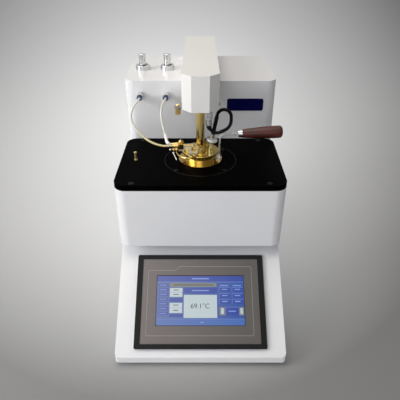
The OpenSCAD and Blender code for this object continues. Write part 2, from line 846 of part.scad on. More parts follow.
module lid_plate() {
  color("goldenrod") at_cup() difference() {
    union() {
      translate([0, 0, rim_z]) cylinder(r = lid_r, h = lid_t);
      translate([0, 0, rim_z - 3]) cylinder(r = cup_out + slide_gap + 2.4, h = 3 + eps);
      translate([0, 0, rim_z]) cylinder(r = hub_r, h = bridge_z - rim_z);
    }
    translate([0, 0, rim_z - 3 - eps]) cylinder(r = cup_out + slide_gap, h = 3 + eps);
    translate([0, 0, rim_z - eps]) cylinder(r = shaft_r + run_gap, h = 20);
    for (a = window_a) window(a, rim_z - eps, lid_t + 2 * eps);
    sensor_line() cylinder(r = probe_r + 0.3, h = 40, center = true);
  }
}

module shutter_plate() {
  color("gold") at_cup() difference() {
    translate([0, 0, shutter_z]) rotate([0, 0, sector_a[0]])
      rotate_extrude(angle = sector_a[1] - sector_a[0])
        translate([hub_r + slide_gap, 0]) square([shutter_r - hub_r - slide_gap, shutter_t]);
    for (a = window_a) window(a + window_turn, shutter_z - eps, shutter_t + 2 * eps);
  }
}

bridge_x = [-22, -5];
bridge_y = [-28, 11];
foot_box = [10.4, 16.5];
block_x = [-40, -30.3];
block_y = [-6.5, 10];
lug_x = block_x[0];
lug_lap = 0.3;

module lid_bridge() {
  color("silver") at_cup() difference() {
    union() {
      translate([bridge_x[0], bridge_y[0], bridge_z])
        cube([bridge_x[1] - bridge_x[0], bridge_y[1] - bridge_y[0], bridge_t]);
      translate([0, 0, bridge_z]) cylinder(r = hub_r, h = bridge_t);
      translate([-30, block_y[0], bridge_z]) cube([12, foot_box.y, bridge_t]);
      translate([lug_x + 2 * lug_lap, block_y[0], lid_top]) cube([foot_box.x, foot_box.y, bridge_z + 1 - lid_top]);
      translate([-17.5, -25.5, lid_top]) cylinder(r = 1.8, h = bridge_z - lid_top + 1);
    }
    translate([0, 0, bridge_z - eps]) cylinder(r = shaft_r + 0.5, h = bridge_t + 2 * eps);
    translate([-15.8, -21.5, bridge_z - eps]) cube([8.3, 18, bridge_t + 2 * eps]);
  }
}

module lid_pin() {
  color("goldenrod") at_cup() for (p = [[8.9, 4.6], [11.2, -0.2]])
    translate([p.x, p.y, lid_top]) union() {
      cylinder(r = 1.25, h = 14);
      translate([0, 0, 13]) cylinder(r = 1.6, h = 2.2);
    }
}

// The sensor leans to the right on its way up from the lid
sensor_x = 16.35;
sensor_dy = 4;
sensor_lean = 12;
probe_r = 1.6;
boss_r = 4.2;
boss_l = 16.2;
bush_r = 10.2;
bush_l = 4.6;
grip_end = 29.6;

module sensor_line() {
  translate([sensor_x, sensor_dy, lid_top]) rotate([0, sensor_lean, 0]) children();
}

module sensor_boss() {
  color("goldenrod") at_cup() difference() {
    sensor_line() translate([0, 0, -4]) cylinder(r = boss_r, h = boss_l + 4);
    translate([sensor_x - 10, sensor_dy - 10, lid_top - 10]) cube([20, 20, 10]);
    sensor_line() cylinder(r = probe_r, h = 60, center = true);
  }
}

module sensor_bush() {
  color("white") at_cup() sensor_line() translate([0, 0, boss_l]) difference() {
    union() {
      cylinder(r = bush_r, h = bush_l - 1);
      translate([0, 0, bush_l - 1]) cylinder(r1 = bush_r, r2 = bush_r - 1, h = 1);
    }
    translate([0, 0, -eps]) cylinder(r = probe_r, h = bush_l + 2 * eps);
  }
}

module sensor_probe() {
  color("gray") at_cup() sensor_line() union() {
    translate([0, 0, boss_l + bush_l]) cylinder(r = 4, h = grip_end - boss_l - bush_l);
    translate([0, 0, -31]) cylinder(r = probe_r, h = 31 + boss_l + bush_l);
  }
}

nut_y = [-1.5, 6];
nut_z = lid_top + 8.3;
pivot_y = -2.5;
pivot_z = nut_z + 1.9;
block_z = bridge_z + 1;
burner_r = 1.5;
adjust_y = -3.4;
adjust_z = lid_top + 1.9;

module burner_block() {
  top_h = 8.5;
  cap_at = [-35.2, 3.5];
  cap_r = 4.5;
  cap_h = 0.8;
  lug_z = [lid_top - 1.5, lid_top + 5.1];
  color("goldenrod") at_cup() difference() {
    union() {
      translate([block_x[0], block_y[0], block_z])
        cube([block_x[1] - block_x[0], block_y[1] - block_y[0], top_h]);
      translate([cap_at.x, cap_at.y, block_z + top_h]) {
        cylinder(r = cap_r, h = cap_h);
        translate([0, 0, cap_h]) sphere(r = cap_r);
      }
      translate([lug_x - 1.5, block_y[0], lug_z[0]])
        cube([1.5 + lug_lap, 9, lug_z[1] - lug_z[0]]);
      translate([0, adjust_y, adjust_z]) {
        tube_x(3.1, lug_x - 4.9, lug_x - 1.5);
        tube_x(2.2, lug_x - 6, lug_x - 4.9);
        tube_x(2.9, lug_x - 10, lug_x - 6);
      }
    }
    translate([-37.8, -4.8, block_z + top_h - 1.6]) cube([5, 5, 4]);
    translate([block_x[1] - 7.5, pivot_y, pivot_z]) rotate([0, 90, 0])
      cylinder(r = burner_r + run_gap, h = 10);
  }
}

module gas_nuts() {
  color("goldenrod") at_cup() for (y = nut_y) translate([0, y, nut_z]) {
    tube_x(3, block_x[0] - 5, block_x[0]);
    tube_x(2.6, block_x[0] - 8.5, block_x[0] - 5);
    tube_x(2.4, block_x[0] - 10.5, block_x[0] - 8.5);
  }
}

// Where the flame tip dips, and where it waits before the shutter opens
dip = [
  18.5 * sin(window_a[2]) - pivot_y,
  lid_top + 1.5 - pivot_z
];
wait_y = dip[0] * cos(window_turn) + dip[1] * sin(window_turn);
wait_z = -dip[0] * sin(window_turn) + dip[1] * cos(window_turn);
tip_x = 18.5 * cos(window_a[2]);

module burner_tube() {
  color("goldenrod") at_cup() sweep([
    [block_x[1] - 7, pivot_y, pivot_z], [tip_x - 4, pivot_y, pivot_z],
    [tip_x - 1.2, pivot_y - 1, pivot_z], [tip_x, pivot_y - 4, pivot_z],
    [tip_x, pivot_y + wait_y + 3, pivot_z + wait_z],
    [tip_x, pivot_y + wait_y, pivot_z + wait_z]
  ], burner_r, 12);
}

module pilot_tube() {
  start_x = lug_x - 3.2;
  start_y = adjust_y - 3;
  z = lid_top;
  color("silver") at_cup() sweep([
    [start_x, start_y + 0.4, z + 1.5], [start_x, start_y - 3, z + 1.5],
    [-42.6, -15, z + 1.7], [-41, -22, z + 2.2], [-37.8, -30, z + 3], [-32.5, -37.5, z + 3.6],
    [-25.5, -42.5, z + 4.2], [-17, -44.2, z + 4.8], [-9.3, -41.5, z + 5.6],
    [-4.2, -35, z + 6.6], [-2.8, -26.5, z + 7.8], [-3.6, -18, z + 9.1], [-5.6, -10.5, z + 10]
  ], 1.4, 8);
}

// Cup and handle

strip_x = lid_r + 2;
strip_t = 3;
strip_w = 8;
bend_r = 12;
strip_top = 50;
ferrule_x = 67;
ferrule_l = 7;
grip_tilt = 3;
foot_t = 2;

module cup() {
  base_t = 2.4;
  color("#b8875a") at_cup() difference() {
    union() {
      translate([0, 0, rim_z - cup_depth - base_t]) cylinder(r = cup_out, h = cup_depth + base_t);
      translate([0, 0, plate_top]) cylinder(r = flange_r, h = flange_t);
    }
    translate([0, 0, rim_z - cup_depth]) cylinder(r = cup_r, h = cup_depth + eps);
    for (a = [-16, 16]) rotate([0, 0, a]) translate([strip_x - 0.6, 0, plate_top - eps])
      cylinder(r = 1.5, h = 10);
  }
}

module handle_strip() {
  foot_z = plate_top + flange_t;
  top_z = plate_top + strip_top + strip_t / 2;
  color("silver") at_cup() union() {
    translate([0, strip_w / 2, 0]) rotate([90, 0, 0]) linear_extrude(strip_w) union() {
      translate([strip_x - strip_t / 2, foot_z]) square([strip_t, top_z - bend_r - foot_z]);
      translate([strip_x - strip_t / 2 + bend_r, top_z - bend_r]) intersection() {
        difference() {
          circle(bend_r);
          circle(bend_r - strip_t);
        }
        translate([-bend_r, 0]) square(bend_r);
      }
      translate([strip_x - strip_t / 2 + bend_r, top_z - strip_t])
        square([ferrule_x - strip_x + strip_t / 2 - bend_r, strip_t]);
    }
    difference() {
      translate([0, 0, foot_z]) rotate([0, 0, -22]) rotate_extrude(angle = 44)
        translate([strip_x - 4.2, 0]) square([6.3, foot_t]);
      for (a = [-16, 16]) rotate([0, 0, a]) translate([strip_x - 0.6, 0, foot_z - eps])
        cylinder(r = 1.5, h = 10);
    }
  }
}

module handle_screws() {
  head_z = plate_top + flange_t + foot_t;
  color("silver") at_cup() for (a = [-16, 16]) rotate([0, 0, a])
    translate([strip_x - 0.6, 0, 0]) difference() {
      union() {
        translate([0, 0, plate_top + 0.2]) cylinder(r = 1.5, h = head_z - plate_top);
        translate([0, 0, head_z]) cylinder(r = 2.1, h = 1.6);
      }
      translate([-0.3, -3, head_z + 1]) cube([0.6, 6, 2]);
    }
}

module grip_line() {
  translate([ferrule_x, 0, plate_top + strip_top]) rotate([0, -grip_tilt, 0])
    rotate([0, 90, 0]) children();
}

module handle_ferrule() {
  color("silver") at_cup() grip_line() union() {
    cylinder(r = 6.2, h = ferrule_l);
    translate([0, 0, ferrule_l - 2]) cylinder(r = 6.9, h = 2);
  }
}

module wood_grip() {
  start_r = grip_r * 0.67;
  color("sienna") at_cup() grip_line() translate([0, 0, ferrule_l]) rotate_extrude()
    polygon(concat(
      [[0, 0], [start_r, 0]],
      [for (i = [1 : 7]) [start_r + (grip_r - start_r) * sin(90 * i / 7), (grip_l - 9) * i / 7]],
      [for (a = [15 : 15 : 75]) [grip_r - 6 + 6 * cos(a), grip_l - 6 + 6 * sin(a)]],
      [[0, grip_l]]
    ));
}

// Gas tubes and the sensor's cable, as points measured from the housing's front and the deck.
// Each runs straight out of its fitting, droops, and comes back up into the next one.
left_route = [
  [-114, 176, 213], [-114, 170.5, 213], [-115.4, 165.5, 212], [-118.6, 160.5, 209.3],
  [-122, 156.2, 205.4], [-125.4, 152.8, 200], [-127.9, 150.2, 193.5], [-128.8, 148, 186],
  [-127.2, 145.6, 177.6], [-122.8, 142.4, 169.4], [-116.4, 138.2, 162], [-108.8, 132.8, 155.8],
  [-100.2, 126, 151.2], [-91, 118.2, 148.9], [-81.6, 110.8, 148.2], [-72.8, 104.2, 148.6],
  [-65.6, 99.6, 149.6], [-60, 97.2, 150.8], [-55, 96.5, 151.3], [-50.5, 96.5, 151.3]
];
right_route = [
  [-65, 176, 213], [-65, 170.5, 213], [-66.2, 165, 212.3], [-68.6, 158.8, 209.6],
  [-70.8, 153, 204.6], [-72, 148, 198], [-72.2, 143.2, 190], [-71, 137.8, 181.2],
  [-68.4, 131.4, 172.4], [-65.4, 124.6, 164.6], [-62.8, 117.8, 158], [-61.5, 111.8, 154.2],
  [-60.2, 108.4, 152.7], [-57, 105.2, 151.6], [-53.6, 104, 151.3], [-50.5, 104, 151.3]
];
cable_r = 2.9;
cable_route = [
  [17.81, 96.79, 182.49], [18.81, 96.43, 181.43], [20.95, 95.75, 179.57], [23.4, 95.18, 178.21],
  [26.06, 94.78, 177.38], [28.85, 94.6, 177.11], [31.63, 94.62, 177.42], [34.28, 94.68, 178.29],
  [42.5, 95.09, 181.95], [46.1, 95.36, 184.08], [49.12, 95.71, 186.97], [51.4, 96.16, 190.48],
  [52.82, 96.7, 194.42], [53.3, 97.28, 198.57], [53.3, 98.26, 205.5], [52.66, 98.77, 209.36],
  [50.81, 99.22, 212.81], [47.95, 99.59, 215.49], [44.38, 100.01, 217.1], [40.49, 100.47, 217.47],
  [36.68, 100.95, 216.57], [33.36, 101.42, 214.5], [30.88, 101.86, 211.46], [29.51, 102.23, 207.79],
  [28.17, 102.66, 200.92], [26.83, 102.8, 194.04], [25.48, 102.85, 187.17], [24.14, 102.73, 180.3],
  [22.82, 102, 173.42], [22.5, 102, 171.95]
];

module routed() {
  translate([0, bath_y, deck_z]) children();
}

module gas_tube_left() {
  color("#e8eef2") routed() sweep(left_route, gas_r, 8);
}

module gas_tube_right() {
  color("#e8eef2") routed() sweep(right_route, gas_r, 8);
}

module sensor_cable() {
  color("#1c1c1c") routed() sweep(cable_route, cable_r, 8, [1, 0, 0]);
}

base_shell();
bottom_plate();
rubber_feet();
screen_bezel();
screen_membrane();
lcd_panel();
screen_rear_case();
power_supply();
control_board();
bath_housing();
top_plate();
plate_screws();
bath_ring();
heater_block();
heater_band();
brass_post();
tower_shell();
tower_back_plate();
badge_plate();
hose_fittings();
fitting_collets();
valve_bases();
gas_manifold();
gas_inlet_barb();
power_inlet();
lift_frame();
lift_motor();
gas_tube_left();
gas_tube_right();
arm_cover();
arm_chassis();
arm_screws();
guide_rods();
lift_carriage();
stirrer_motor();
stirrer_sleeve();
cable_connector();
sensor_cable();
lid_plate();
lid_bridge();
lid_pin();
sensor_boss();
sensor_bush();
sensor_probe();
burner_block();
gas_nuts();
pilot_tube();
stirrer_shaft();
shutter_plate();
burner_tube();
cup();
handle_strip();
handle_screws();
handle_ferrule();
wood_grip();
valve_knob_left();
valve_knob_right();
lead_screw();
switch_rocker();
side_knob();
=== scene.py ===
# %% [markdown]
# # Flash point tester: looks around a fixed frame
#
# The construction comes in as a fixed frame: every piece at its real size and place, in
# metres, with the ground at height zero and the user in front, towards -Y. This file adds
# what the eye sees: rounded edges, finishes, the flexible tubes and the screen's picture.

# %% Load the frame
import math

import bpy
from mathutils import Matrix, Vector


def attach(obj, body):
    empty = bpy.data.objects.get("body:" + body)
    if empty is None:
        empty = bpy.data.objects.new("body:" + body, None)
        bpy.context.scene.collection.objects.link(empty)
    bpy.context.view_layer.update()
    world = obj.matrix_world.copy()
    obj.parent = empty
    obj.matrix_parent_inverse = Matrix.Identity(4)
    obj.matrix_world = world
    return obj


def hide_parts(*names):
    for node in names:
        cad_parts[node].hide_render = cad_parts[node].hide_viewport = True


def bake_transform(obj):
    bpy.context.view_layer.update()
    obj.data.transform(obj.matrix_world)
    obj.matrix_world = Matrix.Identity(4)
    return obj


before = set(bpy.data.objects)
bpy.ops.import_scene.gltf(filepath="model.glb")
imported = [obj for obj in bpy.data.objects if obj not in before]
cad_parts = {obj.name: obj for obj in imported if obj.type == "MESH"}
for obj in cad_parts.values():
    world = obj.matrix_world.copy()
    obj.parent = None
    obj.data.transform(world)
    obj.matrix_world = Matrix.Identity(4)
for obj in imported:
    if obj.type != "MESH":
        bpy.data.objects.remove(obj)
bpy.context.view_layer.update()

# %% [markdown]
# ## Camera
#
# The photograph was taken from in front and above. Its straight edges give one camera that
# all of them agree with: 32 degrees down, a little over 0.7 m from the front lip. A lens of
# 38 mm on a 36 mm sensor has the same field of view. Placing the camera first means that
# every later choice can be judged in the photograph's own frame.

# %% Place the camera
CAMERA_AT = (-0.0007, -0.7256, 0.6270)
CAMERA_DOWN = 32.0
LENS_MM = 38.07
SENSOR_MM = 36.0

camera_data = bpy.data.cameras.new("camera")
camera_data.lens = LENS_MM
camera_data.sensor_width = SENSOR_MM
camera = bpy.data.objects.new("camera", camera_data)
camera.location = CAMERA_AT
camera.rotation_euler = (math.radians(90 - CAMERA_DOWN), 0, 0)
bpy.context.scene.collection.objects.link(camera)
bpy.context.scene.camera = camera
bpy.context.scene.view_settings.view_transform = "Standard"
print("camera at", CAMERA_AT, "looks", CAMERA_DOWN, "degrees down")

# %% [markdown]
# ## Helpers for shapes
#
# Three ways of making a mesh cover nearly every small part here: a swept tube for what is
# bent from wire or hose, a turned shape for what came off a lathe, and a flat sheet for
# what was printed or cut. Each is a list of points and faces that a few lines work out,
# which keeps the result exact and the same on every run. Modelling by hand would be quicker
# for one part, but not for ten.

# %% A mesh object from points and faces
MM = 0.001


def mesh_object(name, points, faces, smooth=True):
    """A new mesh object, with its points in metres in the frame's own axes."""
    mesh = bpy.data.meshes.new(name)
    mesh.from_pydata([tuple(p) for p in points], [], faces)
    mesh.update()
    made = bpy.data.objects.new(name, mesh)
    bpy.context.scene.collection.objects.link(made)
    for face in mesh.polygons:
        face.use_smooth = smooth
    return made


print("lengths are in metres, and one millimetre is", MM)

# %% Smooth a listed route into a fine path
def fine_path(route, per_step=6):
    """Points along a smooth curve through the route's own points."""
    points = [Vector(p) for p in route]
    ends = [2 * points[0] - points[1]] + points + [2 * points[-1] - points[-2]]
    path = []
    for i in range(1, len(ends) - 2):
        before, here, there, after = ends[i - 1 : i + 3]
        for step in range(per_step):
            t = step / per_step
            path.append(
                here
                + 0.5 * t * (there - before)
                + t * t * (before - 2.5 * here + 2 * there - 0.5 * after)
                + t * t * t * (1.5 * (here - there) + 0.5 * (after - before))
            )
    return path + [points[-1]]


print("a straight step becomes", len(fine_path([(0, 0, 0), (1, 0, 0)])) - 1, "short ones")

# %% Sweep a round section along a path
FIRST_NORMAL = Vector((0.3, 0.2, 1.0))


def tube(name, path, radius, sides=14):
    """A closed tube; radius is a number, or a function of the share of the way along."""
    points = [Vector(p) for p in path]
    size = radius if callable(radius) else (lambda share: radius)
    corners, faces, normal = [], [], FIRST_NORMAL
    for i, point in enumerate(points):
        run = (points[min(i + 1, len(points) - 1)] - points[max(i - 1, 0)]).normalized()
        normal = (normal - run * normal.dot(run)).normalized()
        other = run.cross(normal)
        r = size(i / (len(points) - 1))
        for k in range(sides):
            a = 2 * math.pi * k / sides
            corners.append(point + r * (math.cos(a) * normal + math.sin(a) * other))
    for i in range(len(points) - 1):
        for k in range(sides):
            a, b = i * sides + k, i * sides + (k + 1) % sides
            faces.append((a, b, b + sides, a + sides))
    last = (len(points) - 1) * sides
    faces.append(tuple(range(sides - 1, -1, -1)))
    faces.append(tuple(range(last, last + sides)))
    return mesh_object(name, corners, faces)


def length_of(path):
    """The length of a path in metres."""
    return sum((Vector(b) - Vector(a)).length for a, b in zip(path, path[1:]))


print("tubes start with their seam towards", tuple(round(c, 2) for c in FIRST_NORMAL))

# %% Turn a profile round an axis
def turned(name, at, profile, axis=(0, 0, 1), steps=48, knurl=0.0, knurled=(), ring=False):
    """A turned part. profile is (radius, height) pairs; rows in knurled get a knurl's depth.
    A ring's profile closes on itself, and any other shape gets flat ends."""
    turn = Vector((0, 0, 1)).rotation_difference(Vector(axis))
    corners, faces = [], []
    for row, (radius, height) in enumerate(profile):
        for k in range(steps):
            r = radius - (knurl if row in knurled and k % 2 else 0.0)
            a = 2 * math.pi * k / steps
            spot = Vector((r * math.cos(a), r * math.sin(a), height))
            corners.append(Vector(at) + turn @ spot)
    rows = len(profile)
    for row in range(rows if ring else rows - 1):
        for k in range(steps):
            here, there = row * steps, (row + 1) % rows * steps
            turn_on = (k + 1) % steps
            faces.append((here + k, here + turn_on, there + turn_on, there + k))
    if not ring:
        faces.append(tuple(range(steps - 1, -1, -1)))
        faces.append(tuple(range((rows - 1) * steps, rows * steps)))
    return mesh_object(name, corners, faces, smooth=not knurl)


# A profile starts and ends this close to the axis, in millimetres, and flat ends close it
CORE = 0.05


def in_metres(rows_mm):
    """A profile's (radius, height) pairs, from millimetres."""
    return [(r * MM, h * MM) for r, h in rows_mm]


print("a turned part has 48 sides, 7.5 degrees each, unless it says otherwise")

# %% [markdown]
# ## The gas tubes and the sensor's cable
#
# Two soft 4 mm tubes carry gas from the tower's fittings to the burner, and a cable with a
# silicone jacket joins the sensor to the arm. They hang free between fixed ends, so their
# shape is a route through the air. A simulation could find one, but not the one that the
# photograph shows. Here the routes are chosen points, the same ones that the construction
# uses, with a smooth curve through them. The gas tubes join the tower to a lid that rises;
# here they stay where they are drawn, and only the cable goes with the head.

# %% Routes, measured from the bath housing's front edge and the deck, in millimetres
ROUTE_ORIGIN = (0.0, -127.0, 156.0)
LEFT_ROUTE = [
    (-114, 176, 213), (-114, 170.5, 213), (-115.4, 165.5, 212), (-118.6, 160.5, 209.3),
    (-122, 156.2, 205.4), (-125.4, 152.8, 200), (-127.9, 150.2, 193.5), (-128.8, 148, 186),
    (-127.2, 145.6, 177.6), (-122.8, 142.4, 169.4), (-116.4, 138.2, 162), (-108.8, 132.8, 155.8),
    (-100.2, 126, 151.2), (-91, 118.2, 148.9), (-81.6, 110.8, 148.2), (-72.8, 104.2, 148.6),
    (-65.6, 99.6, 149.6), (-60, 97.2, 150.8), (-55, 96.5, 151.3), (-50.5, 96.5, 151.3),
]
RIGHT_ROUTE = [
    (-65, 176, 213), (-65, 170.5, 213), (-66.2, 165, 212.3), (-68.6, 158.8, 209.6),
    (-70.8, 153, 204.6), (-72, 148, 198), (-72.2, 143.2, 190), (-71, 137.8, 181.2),
    (-68.4, 131.4, 172.4), (-65.4, 124.6, 164.6), (-62.8, 117.8, 158), (-61.5, 111.8, 154.2),
    (-60.2, 108.4, 152.7), (-57, 105.2, 151.6), (-53.6, 104, 151.3), (-50.5, 104, 151.3),
]
CABLE_ROUTE = [
    (17.81, 96.79, 182.49), (18.81, 96.43, 181.43), (20.95, 95.75, 179.57),
    (23.4, 95.18, 178.21), (26.06, 94.78, 177.38), (28.85, 94.6, 177.11),
    (31.63, 94.62, 177.42), (34.28, 94.68, 178.29), (42.5, 95.09, 181.95),
    (46.1, 95.36, 184.08), (49.12, 95.71, 186.97), (51.4, 96.16, 190.48),
    (52.82, 96.7, 194.42), (53.3, 97.28, 198.57), (53.3, 98.26, 205.5),
    (52.66, 98.77, 209.36), (50.81, 99.22, 212.81), (47.95, 99.59, 215.49),
    (44.38, 100.01, 217.1), (40.49, 100.47, 217.47), (36.68, 100.95, 216.57),
    (33.36, 101.42, 214.5), (30.88, 101.86, 211.46), (29.51, 102.23, 207.79),
    (28.17, 102.66, 200.92), (26.83, 102.8, 194.04), (25.48, 102.85, 187.17),
    (24.14, 102.73, 180.3), (22.82, 102, 173.42), (22.5, 102, 171.95),
]


def placed(route):
    """The route's points in metres, in the frame's own axes."""
    return [tuple((p + o) * MM for p, o in zip(point, ROUTE_ORIGIN)) for point in route]


print("points on the routes:", len(LEFT_ROUTE), len(RIGHT_ROUTE), len(CABLE_ROUTE))

# %% Make the three free stretches
GAS_D = 4.0 * MM
CABLE_D = 5.8 * MM


def free_stretch(name, node, route, diameter):
    """A tube along a route, in place of the plain one in the frame."""
    path = fine_path(placed(route))
    made = tube(name, path, diameter / 2)
    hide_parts(node)
    print(name, "is", round(length_of(path) / MM), "mm long")
    return made, path


gas_left, left_path = free_stretch("gas_tube_left_hose", "gas_tube_left", LEFT_ROUTE, GAS_D)
gas_right, right_path = free_stretch("gas_tube_right_hose", "gas_tube_right", RIGHT_ROUTE, GAS_D)
cable, cable_path = free_stretch("sensor_cable_jacket", "sensor_cable", CABLE_ROUTE, CABLE_D)
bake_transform(gas_left)
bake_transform(gas_right)
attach(cable, "head")

# %% [markdown]
# ## Helpers for materials
#
# Colours are written as the hex values that a paint chart or a screen shows, which are
# sRGB. Shader sockets want linear light, so one function converts them. Another adds a
# node with its settings and links, and every material below is built from those two.

# %% Colour and node helpers
def linear(hex_colour, alpha=1.0):
    """A '#rrggbb' value as linear red, green, blue and alpha."""
    parts = [int(hex_colour[i : i + 2], 16) / 255 for i in (1, 3, 5)]
    curve = [c / 12.92 if c <= 0.04045 else ((c + 0.055) / 1.055) ** 2.4 for c in parts]
    return (*curve, alpha)


def add(tree, kind, inputs=None, **settings):
    """A node with its settings; each input is a value, or another node's socket to link."""
    made = tree.nodes.new(kind)
    for key, value in settings.items():
        setattr(made, key, value)
    for key, value in (inputs or {}).items():
        if isinstance(value, bpy.types.NodeSocket):
            tree.links.new(value, made.inputs[key])
        else:
            made.inputs[key].default_value = value
    return made


def start(name, **sockets):
    """A material with only its surface shader, whose constant sockets are given here."""
    made = bpy.data.materials.new(name)
    made.use_nodes = True
    tree = made.node_tree
    shader = tree.nodes["Principled BSDF"]
    for key, value in sockets.items():
        shader.inputs[key.replace("_", " ")].default_value = value
    where = add(tree, "ShaderNodeTexCoord").outputs["Object"]
    return made, tree, shader, where


def per_metre(size_mm):
    """The texture scale at which a noise has features of this size."""
    return 1000.0 / size_mm


print("mid grey #808080 is", round(linear("#808080")[0], 3), "in linear light")

# %% [markdown]
# ## Painted sheet metal
#
# The console, bath housing, tower and arm are folded steel with a white powder coat. The
# powder melts into a smooth skin that keeps a faint orange peel, so highlights break up a
# little at their edges. A low bump at the peel's real size gives that; a displacement
# would cost millions of faces for ripples of a few micrometres.

# %% Powder coat
PEEL_MM = 1.6
BATCH_MM = 90


def powder_coat(name, colour, shade):
    """White powder coat on steel: soft highlights, an orange peel and faint tone shifts."""
    made, tree, shader, where = start(name, Roughness=0.36, IOR=1.5, Coat_Weight=0.12,
                                      Coat_Roughness=0.18)
    cloud = add(tree, "ShaderNodeTexNoise", {"Vector": where, "Scale": per_metre(BATCH_MM),
                "Detail": 3})
    tone = add(tree, "ShaderNodeMix", {"Factor": cloud.outputs["Fac"], "A": linear(colour),
               "B": linear(shade)}, data_type="RGBA")
    peel = add(tree, "ShaderNodeTexNoise", {"Vector": where, "Scale": per_metre(PEEL_MM),
               "Detail": 2})
    bump = add(tree, "ShaderNodeBump", {"Height": peel.outputs["Fac"], "Strength": 0.05,
               "Distance": 0.4 * MM})
    tree.links.new(tone.outputs["Result"], shader.inputs["Base Color"])
    tree.links.new(bump.outputs["Normal"], shader.inputs["Normal"])
    return made


# Neutral white, for the three housings
white_coat = powder_coat("powder_coat_white", "#e9e9ea", "#e3e3e5")
# A slightly warmer batch, for the arm's cover, which is a pressing of its own
ivory_coat = powder_coat("powder_coat_warm_white", "#eae9e6", "#e4e2de")
print("orange peel", PEEL_MM, "mm across")

# %% [markdown]
# ## The black bath plate
#
# The plate over the bath is thick aluminium with a hard black anodic layer. It is matt,
# nearly black, and shows only a dull sheen where the window light grazes it, with slight
# wipe marks. Lowering the specular level keeps it black under a pale room, and a roughness
# that drifts over some centimetres gives the wiped look.

# %% Black anodised aluminium
WIPE_MM = 45
BLAST_MM = 0.9


def anodised_black(name):
    """Hard-anodised aluminium: matt black with wipe marks and a fine blasted grain, which is
    drawn coarser than the real 0.1 mm so that it shows."""
    made, tree, shader, where = start(name, Specular_IOR_Level=0.006)
    smear = add(tree, "ShaderNodeTexNoise", {"Vector": where, "Scale": per_metre(WIPE_MM),
                "Detail": 5, "Distortion": 0.8})
    rough = add(tree, "ShaderNodeMapRange", {"Value": smear.outputs["Fac"], "From Min": 0.3,
                "From Max": 0.7, "To Min": 0.36, "To Max": 0.52})
    tone = add(tree, "ShaderNodeMix", {"Factor": smear.outputs["Fac"], "A": linear("#020202"),
               "B": linear("#040404")}, data_type="RGBA")
    grain = add(tree, "ShaderNodeTexNoise", {"Vector": where, "Scale": per_metre(BLAST_MM),
                "Detail": 2})
    bump = add(tree, "ShaderNodeBump", {"Height": grain.outputs["Fac"], "Strength": 0.08,
               "Distance": 0.2 * MM})
    tree.links.new(tone.outputs["Result"], shader.inputs["Base Color"])
    tree.links.new(rough.outputs["Result"], shader.inputs["Roughness"])
    tree.links.new(bump.outputs["Normal"], shader.inputs["Normal"])
    return made


black_plate = anodised_black("anodised_aluminium_black")
print("wipe marks", WIPE_MM, "mm, grain", BLAST_MM, "mm")

# %% [markdown]
# ## Metals
#
# Bright metal is mostly reflection, so its colour is the colour of the metal itself, and
# what tells brass from steel is that tint and how the surface was worked. Turned parts
# carry fine rings round the axis they were cut on, and those rings draw a lamp's reflection
# out along the axis into a bright band. Brushed parts have long streaks, and plated ones
# are mirror-smooth. The maker below takes the tint and the kind of streak.

# %% Worked metal
CUP_AXIS = (0.0, -29.0 * MM)
SMUDGE_MM = 14
ROUGHER, SMOOTHER = 1.3, 0.75
# How the pattern is scaled along X, Y and Z: a small number draws it out into streaks
STRETCH = {"brushed": (0.08, 1, 1), "lapped": (1, 1, 0.05)}
# How far a highlight is drawn out across the rings
DRAWN_OUT = {"turned": 0.8, "lapped": 1.0}


def worked_metal(name, colour, shade, rough, streak, streak_mm, strength=0.06, axis=CUP_AXIS):
    """Bare metal. streak is 'turned' for rings round an upright axis, 'brushed' for
    streaks along X, 'lapped' for a tube polished round its axis, or 'plain'. streak_mm is
    wider than real tool marks, which are some 0.1 mm, so that they show."""
    made, tree, shader, where = start(name, Metallic=1.0)
    source = where
    if streak in DRAWN_OUT:
        off = add(tree, "ShaderNodeVectorMath", {0: where, 1: (axis[0], axis[1], 0)},
                  operation="SUBTRACT")
        round_it = add(tree, "ShaderNodeVectorMath", {0: off.outputs[0], 1: (0, 0, 1)},
                       operation="CROSS_PRODUCT")
        along = add(tree, "ShaderNodeVectorMath", {0: round_it.outputs[0]}, operation="NORMALIZE")
        tree.links.new(along.outputs[0], shader.inputs["Tangent"])
        shader.inputs["Anisotropic"].default_value = DRAWN_OUT[streak]
    if streak == "turned":
        flat = add(tree, "ShaderNodeVectorMath", {0: off.outputs[0], 1: (1, 1, 0)},
                   operation="MULTIPLY")
        away = add(tree, "ShaderNodeVectorMath", {0: flat.outputs[0]}, operation="LENGTH")
        high = add(tree, "ShaderNodeSeparateXYZ", {0: where})
        spot = add(tree, "ShaderNodeCombineXYZ", {0: away.outputs["Value"], 2: high.outputs[2]})
        source = spot.outputs[0]
    fit = add(tree, "ShaderNodeMapping", {"Vector": source,
              "Scale": STRETCH.get(streak, (1, 1, 1))})
    lines = add(tree, "ShaderNodeTexNoise", {"Vector": fit.outputs[0],
                "Scale": per_metre(streak_mm), "Detail": 3})
    cloud = add(tree, "ShaderNodeTexNoise", {"Vector": where, "Scale": per_metre(SMUDGE_MM),
                "Detail": 4})
    drift = lines if streak == "lapped" else cloud
    tone = add(tree, "ShaderNodeMix", {"Factor": drift.outputs["Fac"], "A": linear(colour),
               "B": linear(shade)}, data_type="RGBA")
    uneven = add(tree, "ShaderNodeMapRange", {"Value": lines.outputs["Fac"], "From Min": 0.3,
                 "From Max": 0.7, "To Min": rough * SMOOTHER, "To Max": rough * ROUGHER})
    bump = add(tree, "ShaderNodeBump", {"Height": lines.outputs["Fac"], "Strength": strength,
               "Distance": 0.3 * MM})
    tree.links.new(tone.outputs["Result"], shader.inputs["Base Color"])
    tree.links.new(uneven.outputs["Result"], shader.inputs["Roughness"])
    tree.links.new(bump.outputs["Normal"], shader.inputs["Normal"])
    return made


print("roughness varies from", SMOOTHER, "to", ROUGHER, "times its middle value")
